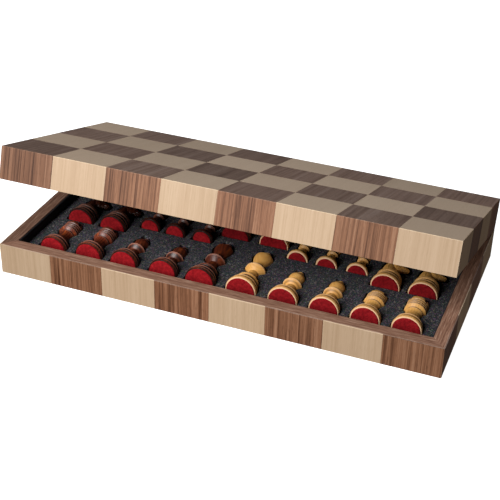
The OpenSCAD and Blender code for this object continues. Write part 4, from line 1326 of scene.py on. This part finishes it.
def relief_slab(name, x0, x1, y0, y1, z0, z1, step, shapes, matrix, mats, edge=0.9, wave=0.12):
    """A soft slab: a fine top surface with pockets pressed in, rounded rims and straight sides."""
    nx = int(round((x1 - x0) / step)) + 1
    ny = int(round((y1 - y0) / step)) + 1
    xs = np.linspace(x0, x1, nx)
    ys = np.linspace(y0, y1, ny)
    X, Y = np.meshgrid(xs, ys, indexing="ij")
    Z = np.full_like(X, z1)
    Z += wave * (np.sin(X * 0.11 + 1.3) * np.sin(Y * 0.13 + 0.4) * 0.5
                 + np.sin(X * 0.37 + Y * 0.21) * 0.3 + np.sin(Y * 0.61 - X * 0.17 + 2.0) * 0.2) - wave
    lip = 1.1       # radius of the soft lip round each pocket
    for poly, fz in shapes:
        px = [q[0] for q in poly]
        py = [q[1] for q in poly]
        i0, i1 = np.searchsorted(xs, min(px) - 3), np.searchsorted(xs, max(px) + 3)
        j0, j1 = np.searchsorted(ys, min(py) - 3), np.searchsorted(ys, max(py) + 3)
        sx, sy = X[i0:i1, j0:j1], Y[i0:i1, j0:j1]
        d = signed(sx, sy, poly)
        zz = Z[i0:i1, j0:j1]
        # rounded lip outside the cut line, then a nearly upright wall
        out = np.clip(1 - d / lip, 0, 1)
        zl = zz - 0.45 * out ** 2.5
        wall = np.clip(-d / 0.35, 0, 1)
        zz = np.where(d > 0, np.minimum(zz, zl), np.minimum(zz, (zz - 0.45) * (1 - wall) + fz * wall))
        Z[i0:i1, j0:j1] = zz
    # soft outer rim
    din = np.minimum(np.minimum(X - x0, x1 - X), np.minimum(Y - y0, y1 - Y))
    t = np.clip(1 - din / edge, 0, 1)
    Z = Z - np.minimum(edge, 0.9) * (1 - np.sqrt(np.clip(1 - t * t, 0, 1)))
    Z = np.clip(Z, z0 + 0.02, z1)
    V = np.stack([X.ravel(), Y.ravel(), Z.ravel()], 1)
    idx = np.arange(nx * ny).reshape(nx, ny)
    q = np.stack([idx[:-1, :-1], idx[1:, :-1], idx[1:, 1:], idx[:-1, 1:]], -1).reshape(-1, 4)
    # skirt and underside
    rim = np.concatenate([idx[:, 0], idx[-1, 1:], idx[-2::-1, -1], idx[0, -2:0:-1]])
    nb = len(rim)
    B = V[rim].copy()
    B[:, 2] = z0
    off = len(V)
    V = np.concatenate([V, B])
    k = np.arange(nb)
    k2 = (k + 1) % nb
    sk = np.stack([rim[k], off + k, off + k2, rim[k2]], -1)
    me = bpy.data.meshes.new(name)
    faces = q.tolist() + sk.tolist() + [list(range(off + nb - 1, off - 1, -1))]
    me.from_pydata(V.tolist(), [], faces)
    me.update()
    bm = bmesh.new()
    bm.from_mesh(me)
    bmesh.ops.recalc_face_normals(bm, faces=bm.faces)
    bm.to_mesh(me)
    bm.free()
    for m in mats:
        me.materials.append(m)
    o = new_object(name, me)
    place(o, matrix)
    shade(o, 50)
    return o


shapes = []
for name, p in PLACES.items():
    shapes += pocket_shapes(name, p)
g = LINING_T + 0.2
foam = relief_slab("foam_insert_soft", -IN_X + g, IN_X - g, IN_YF + g, IN_YB - g, FLOOR_Z, FOAM_TOP,
                   0.7, shapes, None, (FOAM,))
settle(foam, "tray", "foam", "foam_insert")
pad = relief_slab("lid_pad_soft", -IN_X + g, IN_X - g, IN_YF + g, IN_YB - g, FLOOR_Z,
                  FLOOR_Z + PAD_T, 2.5, [], LID, (PADFOAM,), edge=2.5, wave=0.25)
settle(pad, "lid", "foam", "lid_foam_pad")


# ---------------------------------------------------------------- stage and light
def floor():
    m = Nodes("stage_floor")
    n = m.noise(m.vmath("MULTIPLY", m.objco(), (3, 3, 3)), detail=2)
    m.color(m.ramp(n, [(0.0, (0.86, 0.86, 0.86)), (1.0, (0.88, 0.88, 0.88))]))
    m.set(Roughness=0.9, Specular_IOR_Level=0.1, Emission_Strength=1.0)
    m.bsdf.inputs["Emission Color"].default_value = (1, 1, 1, 1)
    bm = bmesh.new()
    bmesh.ops.create_grid(bm, x_segments=4, y_segments=4, size=6.0)
    me = bpy.data.meshes.new("stage_floor")
    bm.to_mesh(me)
    bm.free()
    me.materials.append(m.mat)
    o = new_object("stage_floor", me)
    o.location.z = -0.0002
    o.visible_diffuse = False
    o.visible_glossy = False


floor()


def area(name, loc, target, size, power, color=(1, 1, 1)):
    d = bpy.data.lights.new(name, "AREA")
    d.shape = "RECTANGLE"
    d.size, d.size_y = size
    d.energy = power
    d.color = color
    o = bpy.data.objects.new(name, d)
    bpy.context.scene.collection.objects.link(o)
    o.location = loc
    o.rotation_euler = (Vector(target) - Vector(loc)).to_track_quat("-Z", "Y").to_euler()
    return o


area("key", (-0.80, -1.62, 1.24), (0, -0.05, 0.05), (0.9, 1.5), 60, (1.0, 1.0, 1.0))
area("top", (0.1, 0.0, 1.7), (0, 0, 0), (1.4, 1.0), 6.0, (0.80, 0.90, 1.0))
area("side", (1.5, 0.1, 0.35), (0.2, 0, 0.03), (0.7, 0.5), 1.3, (1.0, 0.80, 0.56))

w = bpy.data.worlds.new("world")
bpy.context.scene.world = w
w.use_nodes = True
nt = w.node_tree
nt.nodes.clear()
out = nt.nodes.new("ShaderNodeOutputWorld")
mix = nt.nodes.new("ShaderNodeMixShader")
lp = nt.nodes.new("ShaderNodeLightPath")
dim = nt.nodes.new("ShaderNodeBackground")
white = nt.nodes.new("ShaderNodeBackground")
dim.inputs[0].default_value = (0.95, 0.97, 1.0, 1)
dim.inputs[1].default_value = 0.055
white.inputs[0].default_value = (1, 1, 1, 1)
white.inputs[1].default_value = 1.0
nt.links.new(lp.outputs["Is Camera Ray"], mix.inputs[0])
nt.links.new(dim.outputs[0], mix.inputs[1])
nt.links.new(white.outputs[0], mix.inputs[2])
nt.links.new(mix.outputs[0], out.inputs[0])
bpy.context.scene.view_settings.view_transform = "Standard"
bpy.context.scene.view_settings.look = "None"
